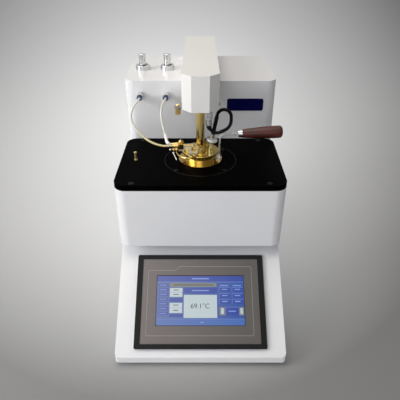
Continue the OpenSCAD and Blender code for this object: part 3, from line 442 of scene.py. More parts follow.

# %% Heat tint and painted shade
def tint_below(material, colour, low, high):
    """Heat tint and painted shade: mix the metal's colour into another one below a height, in
    metres.
    """
    tree = material.node_tree
    shader = tree.nodes["Principled BSDF"]
    plain = shader.inputs["Base Color"].links[0].from_socket
    where = add(tree, "ShaderNodeTexCoord")
    spot = add(tree, "ShaderNodeSeparateXYZ", {0: where.outputs["Object"]})
    share = add(tree, "ShaderNodeMapRange", {"Value": spot.outputs[2], "From Min": low,
                "From Max": high})
    tone = add(tree, "ShaderNodeMix", {"Factor": share.outputs["Result"], "A": linear(colour),
               "B": plain}, data_type="RGBA")
    tree.links.new(tone.outputs["Result"], shader.inputs["Base Color"])


print("a heat tint is a second colour below a height")

# %% Brass and bronze
KNOB_AXIS = (-39.0 * MM, -22.0 * MM)
TINT_ENDS = (282.8 * MM, 284.2 * MM)
# Turned on a lathe and polished: fine rings, and a lamp's reflection drawn out across them
turned_brass = worked_metal("turned_brass", "#e9d488", "#cfb05c", 0.2, "turned", 1.4)
# Drawn through a die: smooth, with clear reflections and a slight green where it darkens
drawn_brass = worked_metal("drawn_brass", "#e6cd8a", "#c2a054", 0.16, "plain", 4.0, 0.03)
# Rod as it came from the mill: dull, so it stays pale where it mirrors the black plate
post_brass = worked_metal("rod_brass", "#f4e2ac", "#d6b868", 0.4, "plain", 3.0, 0.05)
# Tube polished round its axis: long soft bands up and down
sleeve_brass = worked_metal("lapped_brass_tube", "#f8e29c", "#d8b458", 0.2, "lapped", 2.2, 0.05)
# Rolled with a knurl: many small facets, which average to a dull gold
knurled_brass = worked_metal("knurled_brass", "#f6dea0", "#dcbc74", 0.38, "turned", 2.0, 0.04,
                             KNOB_AXIS)
# The cup: turned bronze, with a darker copper gold below the rim, partly heat tint and partly
# painted shade for the flange's dark reflections
bronze_tint_and_shade = worked_metal("bronze_heat_tint_and_painted_shade", "#e8d690", "#cdb266", 0.17, "turned", 1.2)
tint_below(bronze_tint_and_shade, "#bd9048", *TINT_ENDS)
print("the cup's tint ends between", *(round(h / MM, 1) for h in TINT_ENDS), "mm above the bench")

# %% Steel, nickel, zinc and aluminium
# Ground bar and rod: grey white, with streaks along the grinding
ground_steel = worked_metal("ground_stainless_steel", "#dcdbd6", "#c2c1bc", 0.22, "brushed", 1.2)
# Nickel over polished brass: nearly a mirror, in a neutral grey
bright_nickel = worked_metal("bright_nickel_plate", "#dcdcdc", "#c6c7c9", 0.1, "plain", 9.0, 0.02)
# Bright-rolled strip that has been bent: pale, with a soft reflection
bright_strip = worked_metal("bright_stainless_strip", "#fafaf8", "#f0efec", 0.3, "plain", 5.0,
                            0.02)
# Nickel plate on the plug's turned and knurled shell: small bright facets
plated_shell = worked_metal("turned_nickel_plate", "#f0efed", "#d2d3d4", 0.14, "plain", 3.0, 0.03)
# Milled plate: dull grey with the cutter's marks
milled_aluminium = worked_metal("milled_aluminium", "#cfd0d1", "#bcbdbf", 0.34, "brushed", 1.6)
# Brushed nickel silver, nearly matt; its cream tone is partly the alloy's own and partly a
# painted reflection of the brass round it
nickel_and_painted_brass_reflection = worked_metal("nickel_silver_and_painted_brass_reflection", "#f6efd8", "#e6dec0", 0.46, "brushed", 0.9,
                            0.1)
# Zinc-plated sheet: grey, with the cloudy spangle of the bath
zinc_sheet = worked_metal("zinc_plated_sheet", "#a9abad", "#8f9296", 0.42, "plain", 7.0)
# Blackened screws: nearly black with a dull shine
black_oxide = worked_metal("black_oxide_steel", "#1d1d1e", "#141415", 0.4, "plain", 3.0)
print("metals:", sum(m.node_tree.nodes["Principled BSDF"].inputs["Metallic"].default_value == 1
                     for m in bpy.data.materials))

# %% [markdown]
# ## Moulded plastics, rubber and films
#
# Moulded parts copy their mould's surface. The screen's frame has the fine spark-eroded
# grain that hides fingerprints, the switch is glossier, the feet are dull rubber. The
# same few nodes do for all of them: a tone that drifts a little and a grain of its own
# real size.

# %% Moulded material
FLOW_MM = 25


def moulded(name, colour, shade, rough, grain_mm, grain=0.1, **sockets):
    """Moulded plastic or rubber, or print. The grain of a real mould is 0.1 to 0.3 mm;
    grain_mm is coarser, so that it shows."""
    made, tree, shader, where = start(name, Roughness=rough, **sockets)
    cloud = add(tree, "ShaderNodeTexNoise", {"Vector": where, "Scale": per_metre(FLOW_MM),
                "Detail": 4})
    tone = add(tree, "ShaderNodeMix", {"Factor": cloud.outputs["Fac"], "A": linear(colour),
               "B": linear(shade)}, data_type="RGBA")
    pits = add(tree, "ShaderNodeTexNoise", {"Vector": where, "Scale": per_metre(grain_mm),
               "Detail": 3})
    bump = add(tree, "ShaderNodeBump", {"Height": pits.outputs["Fac"], "Strength": grain,
               "Distance": 0.3 * MM})
    tree.links.new(tone.outputs["Result"], shader.inputs["Base Color"])
    tree.links.new(bump.outputs["Normal"], shader.inputs["Normal"])
    return made


print("tone drifts over", FLOW_MM, "mm, as the melt flowed")

# %% Black plastics and rubber
# Flame-retardant ABS with a spark-eroded grain: dark grey, no clear reflection
bezel_abs = moulded("spark_grained_abs", "#0e0f11", "#0a0b0c", 0.5, 0.9, 0.16,
                    Specular_IOR_Level=0.22)
# Shrunk polyolefin sleeve over the cable's end: black and dull
heat_shrink = moulded("heat_shrink_polyolefin", "#060607", "#0d0d0e", 0.5, 1.6, 0.12,
                      Specular_IOR_Level=0.15)
# Moulded nylon of switch, inlet and motor caps: black with a soft gloss
black_nylon = moulded("black_nylon", "#17171a", "#1f1f22", 0.38, 1.1, 0.1)
# Nitrile feet: dark and quite matt
foot_rubber = moulded("nitrile_rubber", "#1b1b1c", "#262627", 0.75, 1.5, 0.2)
# Extruded silicone jacket: deep black, which shows only as an outline
silicone_jacket = moulded("silicone_cable_jacket", "#050506", "#0b0b0c", 0.42, 2.2, 0.06,
                          Specular_IOR_Level=0.12)
# Black print under the film, round the display; its wider top band is painted shadow of the
# recess's upper edge
mask_and_painted_shadow = moulded("black_print_and_painted_shadow", "#0b0b0c", "#101012", 0.35, 1.5, 0.02)
# Thin grey line along the ring's edge, paler than the black plate
ring_edge_grey = moulded("grey_edge_line", "#323335", "#222325", 0.4, 1.0, 0.1)
print("black materials ready")

# %% Pale and coloured plastics
# Turned PTFE bush: milky white, with light going a little way in
ptfe = moulded("turned_ptfe", "#e4e2de", "#d6d4cf", 0.35, 1.2, 0.05, Subsurface_Weight=0.1)
# Acetal collet of the gas fittings: clear blue, glossy
blue_acetal = moulded("blue_acetal", "#1b4474", "#163a66", 0.3, 1.3, 0.05)
# Green solder mask on the board, seen only from inside
solder_mask = moulded("solder_mask_on_board", "#1c5a38", "#154a2d", 0.32, 2.0, 0.08)
# Mica between two steel sheets, the heater's band: ochre flakes
mica_band = moulded("mica_heater_band", "#b79a62", "#9a7c48", 0.45, 1.6, 0.12)
# Polyurethane hose: milky, lets some light through
milky_hose = moulded("polyurethane_hose", "#eceae2", "#e2dfd2", 0.24, 3.0, 0.03,
                     Transmission_Weight=0.22, Subsurface_Weight=0.15)
# White heat-shrink sleeve on the right hose
white_sleeve = moulded("heat_shrink_sleeve", "#eeeeec", "#e2e2df", 0.4, 1.8, 0.05)
# Acrylic badge: deep blue under a clear gloss
badge_blue = moulded("blue_acrylic_badge", "#02054a", "#01033a", 0.3, 4.0, 0.02,
                     Specular_IOR_Level=0.08)
# Pale printing ink of the line round the display
pale_ink = moulded("pale_printing_ink", "#a8a5a2", "#9a9794", 0.4, 1.5, 0.02)
print("pale and coloured materials ready")

# %% Films and hoses whose tone runs along them
PATCH_MM = 20
PATCH_SHARE = 0.2


def graded(name, low_tone, high_tone, axis, low, high, rough, grain_mm, **sockets):
    """A smooth material whose colour goes from one tone to another along X, Y or Z. Its
    faint ripple is coarser than the real one too, so that it shows."""
    made, tree, shader, where = start(name, Roughness=rough, **sockets)
    spot = add(tree, "ShaderNodeSeparateXYZ", {0: where})
    cloud = add(tree, "ShaderNodeTexNoise", {"Vector": where, "Scale": per_metre(PATCH_MM),
                "Detail": 3})
    share = add(tree, "ShaderNodeMapRange", {"Value": spot.outputs[axis], "From Min": low,
                "From Max": high})
    drift = add(tree, "ShaderNodeMath", {0: cloud.outputs["Fac"], 1: PATCH_SHARE,
                2: share.outputs[0]}, operation="MULTIPLY_ADD")
    tone = add(tree, "ShaderNodeMix", {"Factor": drift.outputs[0], "A": linear(low_tone),
               "B": linear(high_tone)}, data_type="RGBA")
    pits = add(tree, "ShaderNodeTexNoise", {"Vector": where, "Scale": per_metre(grain_mm)})
    bump = add(tree, "ShaderNodeBump", {"Height": pits.outputs["Fac"], "Strength": 0.03,
               "Distance": 0.3 * MM})
    tree.links.new(tone.outputs["Result"], shader.inputs["Base Color"])
    tree.links.new(bump.outputs["Normal"], shader.inputs["Normal"])
    return made


# Screen-printed polyester film, satin; the paler left side is painted light, where the window's
# light falls
membrane_film = graded("printed_polyester_film", "#746d6c", "#595553", 0, -110 * MM, 100 * MM,
                       0.4, 1.4)
# Polyurethane hose that the flame's heat has yellowed near its end
aged_hose = graded("polyurethane_hose_yellowed", "#cfb46a", "#f1efe6", 2, 302 * MM, 338 * MM,
                   0.24, 3.0, Transmission_Weight=0.2, Subsurface_Weight=0.15)
print("graded: the membrane along X and the left hose along Z")

# %% [markdown]
# ## The wooden grip
#
# The cup is lifted by a stained hardwood grip, so that the hand stays cool. Turned wood
# shows long grain lines along its axis and small dark pores, under a thin varnish. The
# lines come from a noise stretched along the grip, which runs in the X direction, because
# growth rings cut lengthways look like streaks and not like circles.

# %% Stained and varnished hardwood
GRAIN_MM, PORE_MM = 2.4, 0.8
STRETCH_ALONG = 0.14


def stained_wood(name):
    """Dark red stain over fine grain, with a thin satin varnish. The pores are wider than
    the real 0.2 mm, so that they show."""
    made, tree, shader, where = start(name, Coat_Weight=0.15, IOR=1.45, Coat_Roughness=0.25)
    long = add(tree, "ShaderNodeMapping", {"Vector": where, "Scale": (STRETCH_ALONG, 1, 1)})
    grain = add(tree, "ShaderNodeTexNoise", {"Vector": long.outputs[0],
                "Scale": per_metre(GRAIN_MM), "Detail": 6, "Distortion": 0.5})
    tone = add(tree, "ShaderNodeValToRGB", {"Fac": grain.outputs["Fac"]})
    stops = tone.color_ramp.elements
    stops[0].position, stops[0].color = 0.34, linear("#280b05")
    stops[1].position, stops[1].color = 0.66, linear("#592014")
    pores = add(tree, "ShaderNodeTexNoise", {"Vector": long.outputs[0],
                "Scale": per_metre(PORE_MM), "Detail": 2})
    rough = add(tree, "ShaderNodeMapRange", {"Value": pores.outputs["Fac"], "To Min": 0.3,
                "To Max": 0.6})
    bump = add(tree, "ShaderNodeBump", {"Height": grain.outputs["Fac"], "Strength": 0.18,
               "Distance": 0.4 * MM})
    tree.links.new(tone.outputs["Color"], shader.inputs["Base Color"])
    tree.links.new(rough.outputs["Result"], shader.inputs["Roughness"])
    tree.links.new(bump.outputs["Normal"], shader.inputs["Normal"])
    return made


varnished_wood = stained_wood("stained_hardwood")
print("grain", GRAIN_MM, "mm across and", round(GRAIN_MM / STRETCH_ALONG), "mm long")

# %% [markdown]
# ## The display
#
# A liquid crystal display lights itself, so most of its colour is emission, with a dark
# satin film in front that still picks up some room light. The blues are paler and greyer at
# the left side and deeper at the right. A picture file would be the usual way; colours made
# from nodes need no file, and each field of the page takes its own.

# %% Lit display
LCD_W, LCD_H = 154.0, 86.0
FILM_MM = 1.2


def lit_panel(name, left, right, glow):
    """A backlit panel whose colour drifts from left to right. Its film has a matt grain,
    which is drawn coarser than the real 0.1 mm so that it shows."""
    made, tree, shader, where = start(name, Roughness=0.3)
    spot = add(tree, "ShaderNodeSeparateXYZ", {0: where})
    share = add(tree, "ShaderNodeMapRange", {"Value": spot.outputs[0],
                "From Min": -LCD_W / 2 * MM, "From Max": LCD_W / 2 * MM})
    tone = add(tree, "ShaderNodeMix", {"Factor": share.outputs["Result"], "A": linear(left),
               "B": linear(right)}, data_type="RGBA")
    grain = add(tree, "ShaderNodeTexNoise", {"Vector": where, "Scale": per_metre(FILM_MM)})
    bump = add(tree, "ShaderNodeBump", {"Height": grain.outputs["Fac"], "Strength": 0.03,
               "Distance": 0.1 * MM})
    tree.links.new(tone.outputs["Result"], shader.inputs["Emission Color"])
    tree.links.new(bump.outputs["Normal"], shader.inputs["Normal"])
    shader.inputs["Emission Strength"].default_value = glow
    shader.inputs["Base Color"].default_value = linear("#101018")
    return made


screen_blue = lit_panel("lit_display_blue", "#6e7cab", "#28509f", 0.92)
screen_deep = lit_panel("lit_display_deep_blue", "#5b66a8", "#25429c", 0.92)
screen_sky = lit_panel("lit_display_sky", "#6b80b6", "#3f69b2", 0.92)
screen_pale = lit_panel("lit_display_pale", "#c9d4d6", "#bccdd2", 0.9)
screen_olive = lit_panel("lit_display_olive", "#8d8e83", "#84867c", 0.9)
screen_ink = lit_panel("lit_display_ink", "#4a5163", "#4a5163", 0.6)
screen_line = lit_panel("lit_display_line", "#95a5dc", "#86a0e6", 0.85)
print("materials so far:", len(bpy.data.materials))

# %% Choose a finish for every node of the frame
FINISH = {
    white_coat: "base_shell bath_housing tower_shell",
    ivory_coat: "arm_cover",
    black_plate: "top_plate bath_ring",
    zinc_sheet: "bottom_plate tower_back_plate arm_chassis power_supply",
    foot_rubber: "rubber_feet",
    bezel_abs: "screen_bezel screen_rear_case",
    membrane_film: "screen_membrane",
    screen_blue: "lcd_panel",
    solder_mask: "control_board",
    ground_steel: "guide_rods lead_screw handle_screws stirrer_shaft "
                  "sensor_probe sensor_boss",
    bright_strip: "handle_strip",
    nickel_and_painted_brass_reflection: "lid_bridge",
    black_oxide: "plate_screws",
    milled_aluminium: "heater_block lift_frame lift_carriage",
    mica_band: "heater_band",
    post_brass: "brass_post",
    drawn_brass: "gas_manifold gas_inlet_barb lid_pin burner_block gas_nuts "
                 "burner_tube pilot_tube",
    sleeve_brass: "stirrer_sleeve",
    knurled_brass: "side_knob",
    turned_brass: "lid_plate shutter_plate",
    badge_blue: "badge_plate",
    bright_nickel: "hose_fittings valve_bases cable_connector handle_ferrule "
                   "valve_knob_left valve_knob_right",
    blue_acetal: "fitting_collets",
    black_nylon: "power_inlet switch_rocker stirrer_motor lift_motor arm_screws",
    milky_hose: "gas_tube_left gas_tube_right",
    silicone_jacket: "sensor_cable",
    ptfe: "sensor_bush",
    bronze_tint_and_shade: "cup",
    varnished_wood: "wood_grip",
}


def paint(piece, material):
    """Give a piece one material in all of its slots."""
    piece.data.materials.clear()
    piece.data.materials.append(material)


for material, names in FINISH.items():
    for name in names.split():
        paint(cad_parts[name], material)
unfinished = set(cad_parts) - set(" ".join(FINISH.values()).split())
print("nodes without a finish:", sorted(unfinished))
paint(gas_left, aged_hose)
paint(gas_right, milky_hose)
paint(cable, silicone_jacket)

# %% [markdown]
# ## Rounded edges
#
# Folded sheet and machined plate have no knife edges, and it is the thin line of light
# along each edge that makes them look solid. A Bevel modifier rounds them by a real
# radius without touching the mesh below. The frame's meshes come with split corners, so a
# Weld modifier joins them first. The arm's cover has screw holes in large flat faces, which
# come as long thin triangles; these are merged before the bevel, or they show as creases.

# %% Edge radii in millimetres
EDGE_MM = {
    "base_shell": 2.5, "bath_housing": 3.5, "tower_shell": 3.0, "arm_cover": 0.6,
    "top_plate": 1.0, "bath_ring": 0.4, "screen_bezel": 1.4, "badge_plate": 0.4,
    "cup": 0.7, "lid_plate": 0.5, "shutter_plate": 0.3, "lid_bridge": 0.4,
    "burner_block": 0.5, "gas_nuts": 0.3, "sensor_boss": 0.4, "sensor_bush": 0.6,
    "stirrer_sleeve": 0.3, "valve_bases": 0.5, "valve_knob_left": 0.4,
    "valve_knob_right": 0.4, "hose_fittings": 0.5, "fitting_collets": 0.4,
    "cable_connector": 0.4, "handle_ferrule": 0.5, "handle_screws": 0.3,
    "plate_screws": 0.15, "brass_post": 0.3, "side_knob": 0.3, "rubber_feet": 0.8,
    "power_inlet": 0.6, "switch_rocker": 0.5, "gas_inlet_barb": 0.4, "bottom_plate": 0.5,
    "tower_back_plate": 0.4, "arm_chassis": 0.4, "arm_screws": 0.2, "sensor_probe": 0.3,
    "screen_membrane": 0.1, "lcd_panel": 0.1, "handle_strip": 1.0, "lid_pin": 0.2,
    "guide_rods": 0.3, "burner_tube": 0.1, "pilot_tube": 0.1, "wood_grip": 0.2,
}
MERGE_FLATS = {"arm_cover"}
print("edge radii from", min(EDGE_MM.values()), "to", max(EDGE_MM.values()), "mm")

# %% Round the edges of the frame's parts
EDGE_ANGLE = math.radians(38)
FLAT_WITHIN = math.radians(0.5)
WELD_WITHIN = 0.01 * MM


def round_edges(piece, radius_mm, segments=3):
    """Weld the split corners, round the sharp edges and even the shading."""
    for face in piece.data.polygons:
        face.use_smooth = True
    weld = piece.modifiers.new("weld", "WELD")
    weld.merge_threshold = WELD_WITHIN
    if piece.name in MERGE_FLATS:
        merge = piece.modifiers.new("flat_faces", "DECIMATE")
        merge.decimate_type = "DISSOLVE"
        merge.angle_limit = FLAT_WITHIN
    bevel = piece.modifiers.new("edges", "BEVEL")
    bevel.width = radius_mm * MM
    bevel.segments = segments
    bevel.limit_method = "ANGLE"
    bevel.angle_limit = EDGE_ANGLE
    bevel.harden_normals = True
    bevel.use_clamp_overlap = True
    piece.modifiers.new("shading", "WEIGHTED_NORMAL").keep_sharp = True


for name, radius in EDGE_MM.items():
    round_edges(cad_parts[name], radius)
print(len(EDGE_MM), "nodes have rounded edges")

# %% [markdown]
# ## The screen's picture
#
# The display shows a working page: a title bar, fields on the left, a large reading in
# the middle and keys on the right. Each field is a thin slab lying on the panel, in the
# panel's own tilted frame, so it stays sharp from any distance and needs no image file.
# Words are left out; only the plain reading has figures.

# %% The tilted frame of the screen
SLOPE = math.radians(35.6)
SLOPE_FOOT = Vector((0, -258.0, 26.0))
BEZEL_H, BEZEL_FROM_FOOT = 163.0, 9.0
LCD_FACE = 4.0


def on_screen(x, up, lift):
    """A point on the panel: x to the right and up from its centre, lift off its face, in mm."""
    along = BEZEL_FROM_FOOT + BEZEL_H / 2 + up
    out = LCD_FACE + lift
    y = SLOPE_FOOT.y + along * math.cos(SLOPE) - out * math.sin(SLOPE)
    z = SLOPE_FOOT.z + along * math.sin(SLOPE) + out * math.cos(SLOPE)
    return Vector((x * MM, y * MM, z * MM))


def slab_points(x0, y0, x1, y1, low, high):
    """The eight corners of a thin slab in the panel's frame."""
    flat = [(x0, y0), (x1, y0), (x1, y1), (x0, y1)]
    return [on_screen(x, y, low) for x, y in flat] + [on_screen(x, y, high) for x, y in flat]


# Layers of the picture lie on each other: fields first, then lines and caps on top of them
FIELD_THICK, ON_FIELD = 0.12, 0.13
SLAB_FACES = [(3, 2, 1, 0), (4, 5, 6, 7), (0, 1, 5, 4), (1, 2, 6, 5), (2, 3, 7, 6), (3, 0, 4, 7)]


def slabs(name, boxes, material, lift=0.0, thick=FIELD_THICK):
    """One object of thin slabs. Boxes are (left, bottom, right, top) shares of the display."""
    corners, faces = [], []
    for x0, y0, x1, y1 in boxes:
        base = len(corners)
        corners += slab_points((x0 - 0.5) * LCD_W, (y0 - 0.5) * LCD_H, (x1 - 0.5) * LCD_W,
                               (y1 - 0.5) * LCD_H, lift, lift + thick)
        faces += [tuple(base + i for i in face) for face in SLAB_FACES]
    made = mesh_object(name, corners, faces, smooth=False)
    paint(made, material)
    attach(made, "base")


print("the screen leans back", round(math.degrees(SLOPE), 1), "degrees from the bench")

# %% Fields and keys
LEFT_COLUMN = [(0.02, y, 0.132, y + 0.055) for y in
               (0.78, 0.685, 0.59, 0.495, 0.4, 0.305, 0.21)]
KEYS = [(x, y, x + 0.125, y + h) for x in (0.717, 0.864)
        for y, h in ((0.428, 0.092), (0.55, 0.088), (0.676, 0.088))]
WIDE_KEY = (0.788, 0.2, 0.932, 0.362)
slabs("screen_title_bar", [(0.0, 0.885, 1.0, 1.0)], screen_deep)
slabs("screen_status_bar", [(0.0, 0.0, 1.0, 0.12)], screen_sky)
slabs("screen_left_labels", LEFT_COLUMN, screen_deep)
slabs("screen_strip", [(0.148, 0.774, 0.686, 0.853)], screen_olive)
slabs("screen_boxes", [(0.148, 0.568, 0.293, 0.75), (0.148, 0.244, 0.293, 0.447)], screen_pale)
slabs("screen_box_feet", [(0.148, 0.165, 0.293, 0.225), (0.148, 0.47, 0.293, 0.54)], screen_deep)
slabs("screen_reading_head", [(0.31, 0.64, 0.69, 0.752)], screen_deep)
slabs("screen_reading_field", [(0.31, 0.147, 0.69, 0.609)], screen_pale)
slabs("screen_keys", KEYS + [WIDE_KEY], screen_deep)
slabs("screen_slider", [(0.717, 0.2, 0.78, 0.362), (0.94, 0.2, 0.995, 0.362)], screen_olive)
slabs("screen_slider_caps", [(0.735, 0.225, 0.765, 0.34), (0.955, 0.225, 0.98, 0.34)],
      screen_pale, lift=ON_FIELD)
slabs("screen_dividers", [(0.148, 0.656, 0.293, 0.662), (0.148, 0.342, 0.293, 0.348),
      (0.0, 0.87, 1.0, 0.876), (0.0, 0.124, 1.0, 0.13)], screen_line, lift=ON_FIELD)
ticks = [(0.40, 0.93, 0.60, 0.955), (0.40, 0.685, 0.60, 0.708), (0.5, 0.05, 0.54, 0.07)]
ticks += [(0.728, 0.79, 0.82, 0.81), (0.875, 0.79, 0.97, 0.81)]
ticks += [(k[0] + 0.03, k[1] + 0.035, k[2] - 0.03, k[3] - 0.033) for k in KEYS]
ticks += [(c[0] + 0.01, c[1] + 0.02, c[2] - 0.02, c[3] - 0.02) for c in LEFT_COLUMN]
ticks += [(0.82, 0.27, 0.90, 0.29)]
slabs("screen_ticks", ticks, screen_line, lift=ON_FIELD)
ink_ticks = [(0.19, y, 0.25, y + 0.014) for y in (0.7, 0.61, 0.395, 0.29)]
ink_ticks += [(0.19, 0.805, 0.65, 0.82)]
slabs("screen_ink_ticks", ink_ticks, screen_ink, lift=ON_FIELD)
KEY_EDGE, KEY_EDGE_THICK = 0.006, 0.06
edges = []
for x0, y0, x1, y1 in KEYS + [WIDE_KEY]:
    edges += [(x0, y1 - KEY_EDGE, x1, y1), (x0, y0, x0 + KEY_EDGE / 2, y1)]
slabs("screen_key_edges", edges, screen_line, lift=ON_FIELD, thick=KEY_EDGE_THICK)
print(len(LEFT_COLUMN), "labels,", len(KEYS) + 1, "keys and", len(ticks), "lines of text")

# %% The reading
READING_MM = 12.0
READING_LIFT, READING_THICK = 0.2, 0.05


def reading(name, text, x, up, size_mm, material):
    """Plain figures on the panel, cut from the built-in typeface as a mesh."""
    curve = bpy.data.curves.new(name, "FONT")
    curve.body = text
    curve.size = size_mm * MM
    curve.extrude = READING_THICK * MM
    curve.align_x, curve.align_y = "CENTER", "CENTER"
    made = bpy.data.objects.new(name + "_curve", curve)
    bpy.context.scene.collection.objects.link(made)
    made.location = on_screen(x, up, READING_LIFT)
    made.rotation_euler = (SLOPE, 0, 0)
    bpy.context.view_layer.update()
    worked_out = made.evaluated_get(bpy.context.evaluated_depsgraph_get())
    mesh = bpy.data.meshes.new_from_object(worked_out)
    mesh.transform(made.matrix_world)
    bpy.data.objects.remove(made)
    figures = bpy.data.objects.new(name, mesh)
    bpy.context.scene.collection.objects.link(figures)
    paint(figures, material)
    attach(figures, "base")


reading("screen_figures", "69.1°C", -0.5, -10.5, READING_MM, screen_ink)
print("the reading is set in a size of", READING_MM, "mm")

# %% The printed line round the display
LINE_W = 0.6
LINE_LEFT, LINE_RIGHT, LINE_TOP, LINE_LOW = -93.7, 91.7, 60.0, -60.0
STEP_X, STEP_DROP, LINE_R = (-46.0, -36.0), 7.1, 3.0
LINE_LIFT, LINE_THICK = 0.85, 0.06


def round_corner(x, up, from_angle, turn=-90, steps=5):
    """Points round a corner whose centre is given, in the panel's frame."""
    angles = [math.radians(from_angle + turn * i / steps) for i in range(steps + 1)]
    return [(x + LINE_R * math.cos(a), up + LINE_R * math.sin(a)) for a in angles]


def printed_line(name, points, width, material):
    """A flat printed line through points on the membrane, mitred at its corners."""
    corners, faces = [], []
    for i, (x, up) in enumerate(points):
        before, after = points[i - 1], points[(i + 1) % len(points)]
        come = Vector((x - before[0], up - before[1])).normalized()
        go = Vector((after[0] - x, after[1] - up)).normalized()
        side = (Vector((-come.y, come.x)) + Vector((-go.y, go.x))).normalized()
        reach = width / 2 / max(0.3, side.dot(Vector((-go.y, go.x))))
        for sign in (-1, 1):
            corners.append(on_screen(x + sign * reach * side.x, up + sign * reach * side.y,
                                     LINE_LIFT))
    n = len(points)
    for i in range(n):
        a, b = 2 * i, 2 * ((i + 1) % n)
        faces.append((a, b, b + 1, a + 1))
    made = mesh_object(name, corners, faces, smooth=False)
    thick = made.modifiers.new("ink", "SOLIDIFY")
    thick.thickness = LINE_THICK * MM
    thick.offset = 0
    paint(made, material)
    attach(made, "base")


outline = round_corner(LINE_LEFT + LINE_R, LINE_TOP - STEP_DROP - LINE_R, 180)
outline += [(STEP_X[0], LINE_TOP - STEP_DROP), (STEP_X[1], LINE_TOP)]
outline += round_corner(LINE_RIGHT - LINE_R, LINE_TOP - LINE_R, 90)
outline += round_corner(LINE_RIGHT - LINE_R, LINE_LOW + LINE_R, 0)
outline += round_corner(LINE_LEFT + LINE_R, LINE_LOW + LINE_R, -90)
printed_line("membrane_line", outline, LINE_W, pale_ink)
print("the printed line turns at", len(outline), "points")

# %% The black mask round the display, widened at the top as painted shadow
MASK_TOP_AND_SHADOW, MASK_LOW, MASK_SIDE = 0.016, 0.01, 0.006
MASK_LIFT, MASK_THICK = 0.3, 0.55
slabs("screen_mask_and_painted_shadow", [(-MASK_SIDE, 1.0, 1 + MASK_SIDE, 1 + MASK_TOP_AND_SHADOW),
      (-MASK_SIDE, -MASK_LOW, 1 + MASK_SIDE, 0.0), (-MASK_SIDE, 0.0, 0.0, 1.0),
      (1.0, 0.0, 1 + MASK_SIDE, 1.0)], mask_and_painted_shadow, lift=MASK_LIFT, thick=MASK_THICK)
print("the mask is", round(MASK_TOP_AND_SHADOW * LCD_H, 1), "mm wide at the top")

# %% [markdown]
# ## Small turned and bent pieces at the lid
#
# A sleeve guards the right gas tube's end, two little ball-ended screws set the flame, and
# the thumb knob under the arm is knurled so that fingers can grip it. The frame carries
# the plain shapes where they bear load; these pieces add what only the eye needs.

# %% Sleeve on the right gas tube
SLEEVE_TOP, SLEEVE_END = 318.5 * MM, -56.5 * MM
SLEEVE_R = 2.9 * MM
sleeve_path = [p for p in right_path if p[2] < SLEEVE_TOP and p[0] < SLEEVE_END]
sleeve = tube("gas_tube_sleeve", sleeve_path, SLEEVE_R)
paint(sleeve, white_sleeve)
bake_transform(sleeve)
print("the sleeve is", round(length_of(sleeve_path) / MM), "mm long")

# %% Jet screws and the igniter's rod
BALL_R, SCREW_R = 2.0, 0.75
IGNITER_R = 0.9 * MM


def ball_screw(name, foot, tip):
    """A thin screw with a ball end, from a fitting to its tip."""
    foot, tip = Vector(foot) * MM, Vector(tip) * MM
    long = (tip - foot).length / MM
    rod = [(CORE, 0), (SCREW_R, 0), (SCREW_R, long - BALL_R)]
    ball = [(BALL_R * math.sin(a), long - BALL_R * math.cos(a))
            for a in (math.radians(x) for x in range(25, 180, 15))]
    profile = in_metres(rod + ball + [(CORE, long + BALL_R)])
    made = turned(name, foot, profile, tuple(tip - foot), steps=20)
    paint(made, bright_nickel)
    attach(made, "head")


ball_screw("jet_screw_upper", (-47, -34.0, 305.5), (-53.5, -38.5, 303.5))
ball_screw("jet_screw_lower", (-45, -33.5, 305.0), (-47.5, -50.0, 302.0))
bent = [(-47.5, -50.0, 302.0), (-44.5, -57.5, 299.0), (-41, -65, 296.0)]
igniter_path = fine_path([tuple(c * MM for c in p) for p in bent])
igniter = tube("igniter_rod", igniter_path, IGNITER_R)
paint(igniter, ground_steel)
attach(igniter, "head")
print("the igniter's rod is", round(length_of(igniter_path) / MM), "mm long")

# %% Knurled thumb knob
KNOB_AT = (*KNOB_AXIS, 375.6 * MM)
KNOB_SIDES = 64
knob_rows = [(CORE, -12.0), (2.0, -12.0), (4.4, -11.7), (5.0, -10.9), (5.0, -1.6), (4.5, -1.1),
             (3.6, -1.1), (3.6, -0.3)]
stem_rows = [(CORE, -1.0), (2.0, -1.0), (2.0, 3.3), (3.4, 3.3), (3.4, 5.7), (CORE, 5.7)]
knob = turned("side_knob_knurled", KNOB_AT, in_metres(knob_rows), steps=KNOB_SIDES,
              knurl=0.35 * MM, knurled=(3, 4))
stem = turned("side_knob_stem", KNOB_AT, in_metres(stem_rows))
for piece in (knob, stem):
    paint(piece, knurled_brass)
    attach(piece, "thumb_knob")
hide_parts("side_knob")
print("the knob has", KNOB_SIDES // 2, "teeth")

# %% [markdown]
# ## The sensor's plug
#
# The cable ends in a screw plug of nickel-plated brass with a knurled coupling ring, and
# leaves it through an angled rubber boot. Where it meets the sensor, a length of heat
# shrink stiffens it. The frame has these as plain cylinders of the same size; the knurl,
# the grooves and the boot's ribs are turned and swept over them here.

# %% Plug shell
PLUG_AT = Vector((14.5, -29.0, 346.0)) * MM
PLUG_SIDES = 56
plug_rows = [(CORE, 0), (4.6, 0), (5.4, 0.8), (5.4, 9.4), (4.8, 9.8), (4.8, 11.6), (5.9, 12.0),
             (6.2, 12.5), (6.2, 23.5), (5.9, 24.0), (4.9, 24.4), (4.9, 26.0), (5.5, 26.4),
             (5.5, 32.4), (CORE, 32.4)]
plug = turned("plug_shell", PLUG_AT, in_metres(plug_rows), steps=PLUG_SIDES,
              knurl=0.45 * MM, knurled=(7, 8))
paint(plug, plated_shell)
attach(plug, "head")
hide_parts("cable_connector")
print("the plug's shell is", plug_rows[-1][1], "mm long, with", PLUG_SIDES // 2, "teeth")

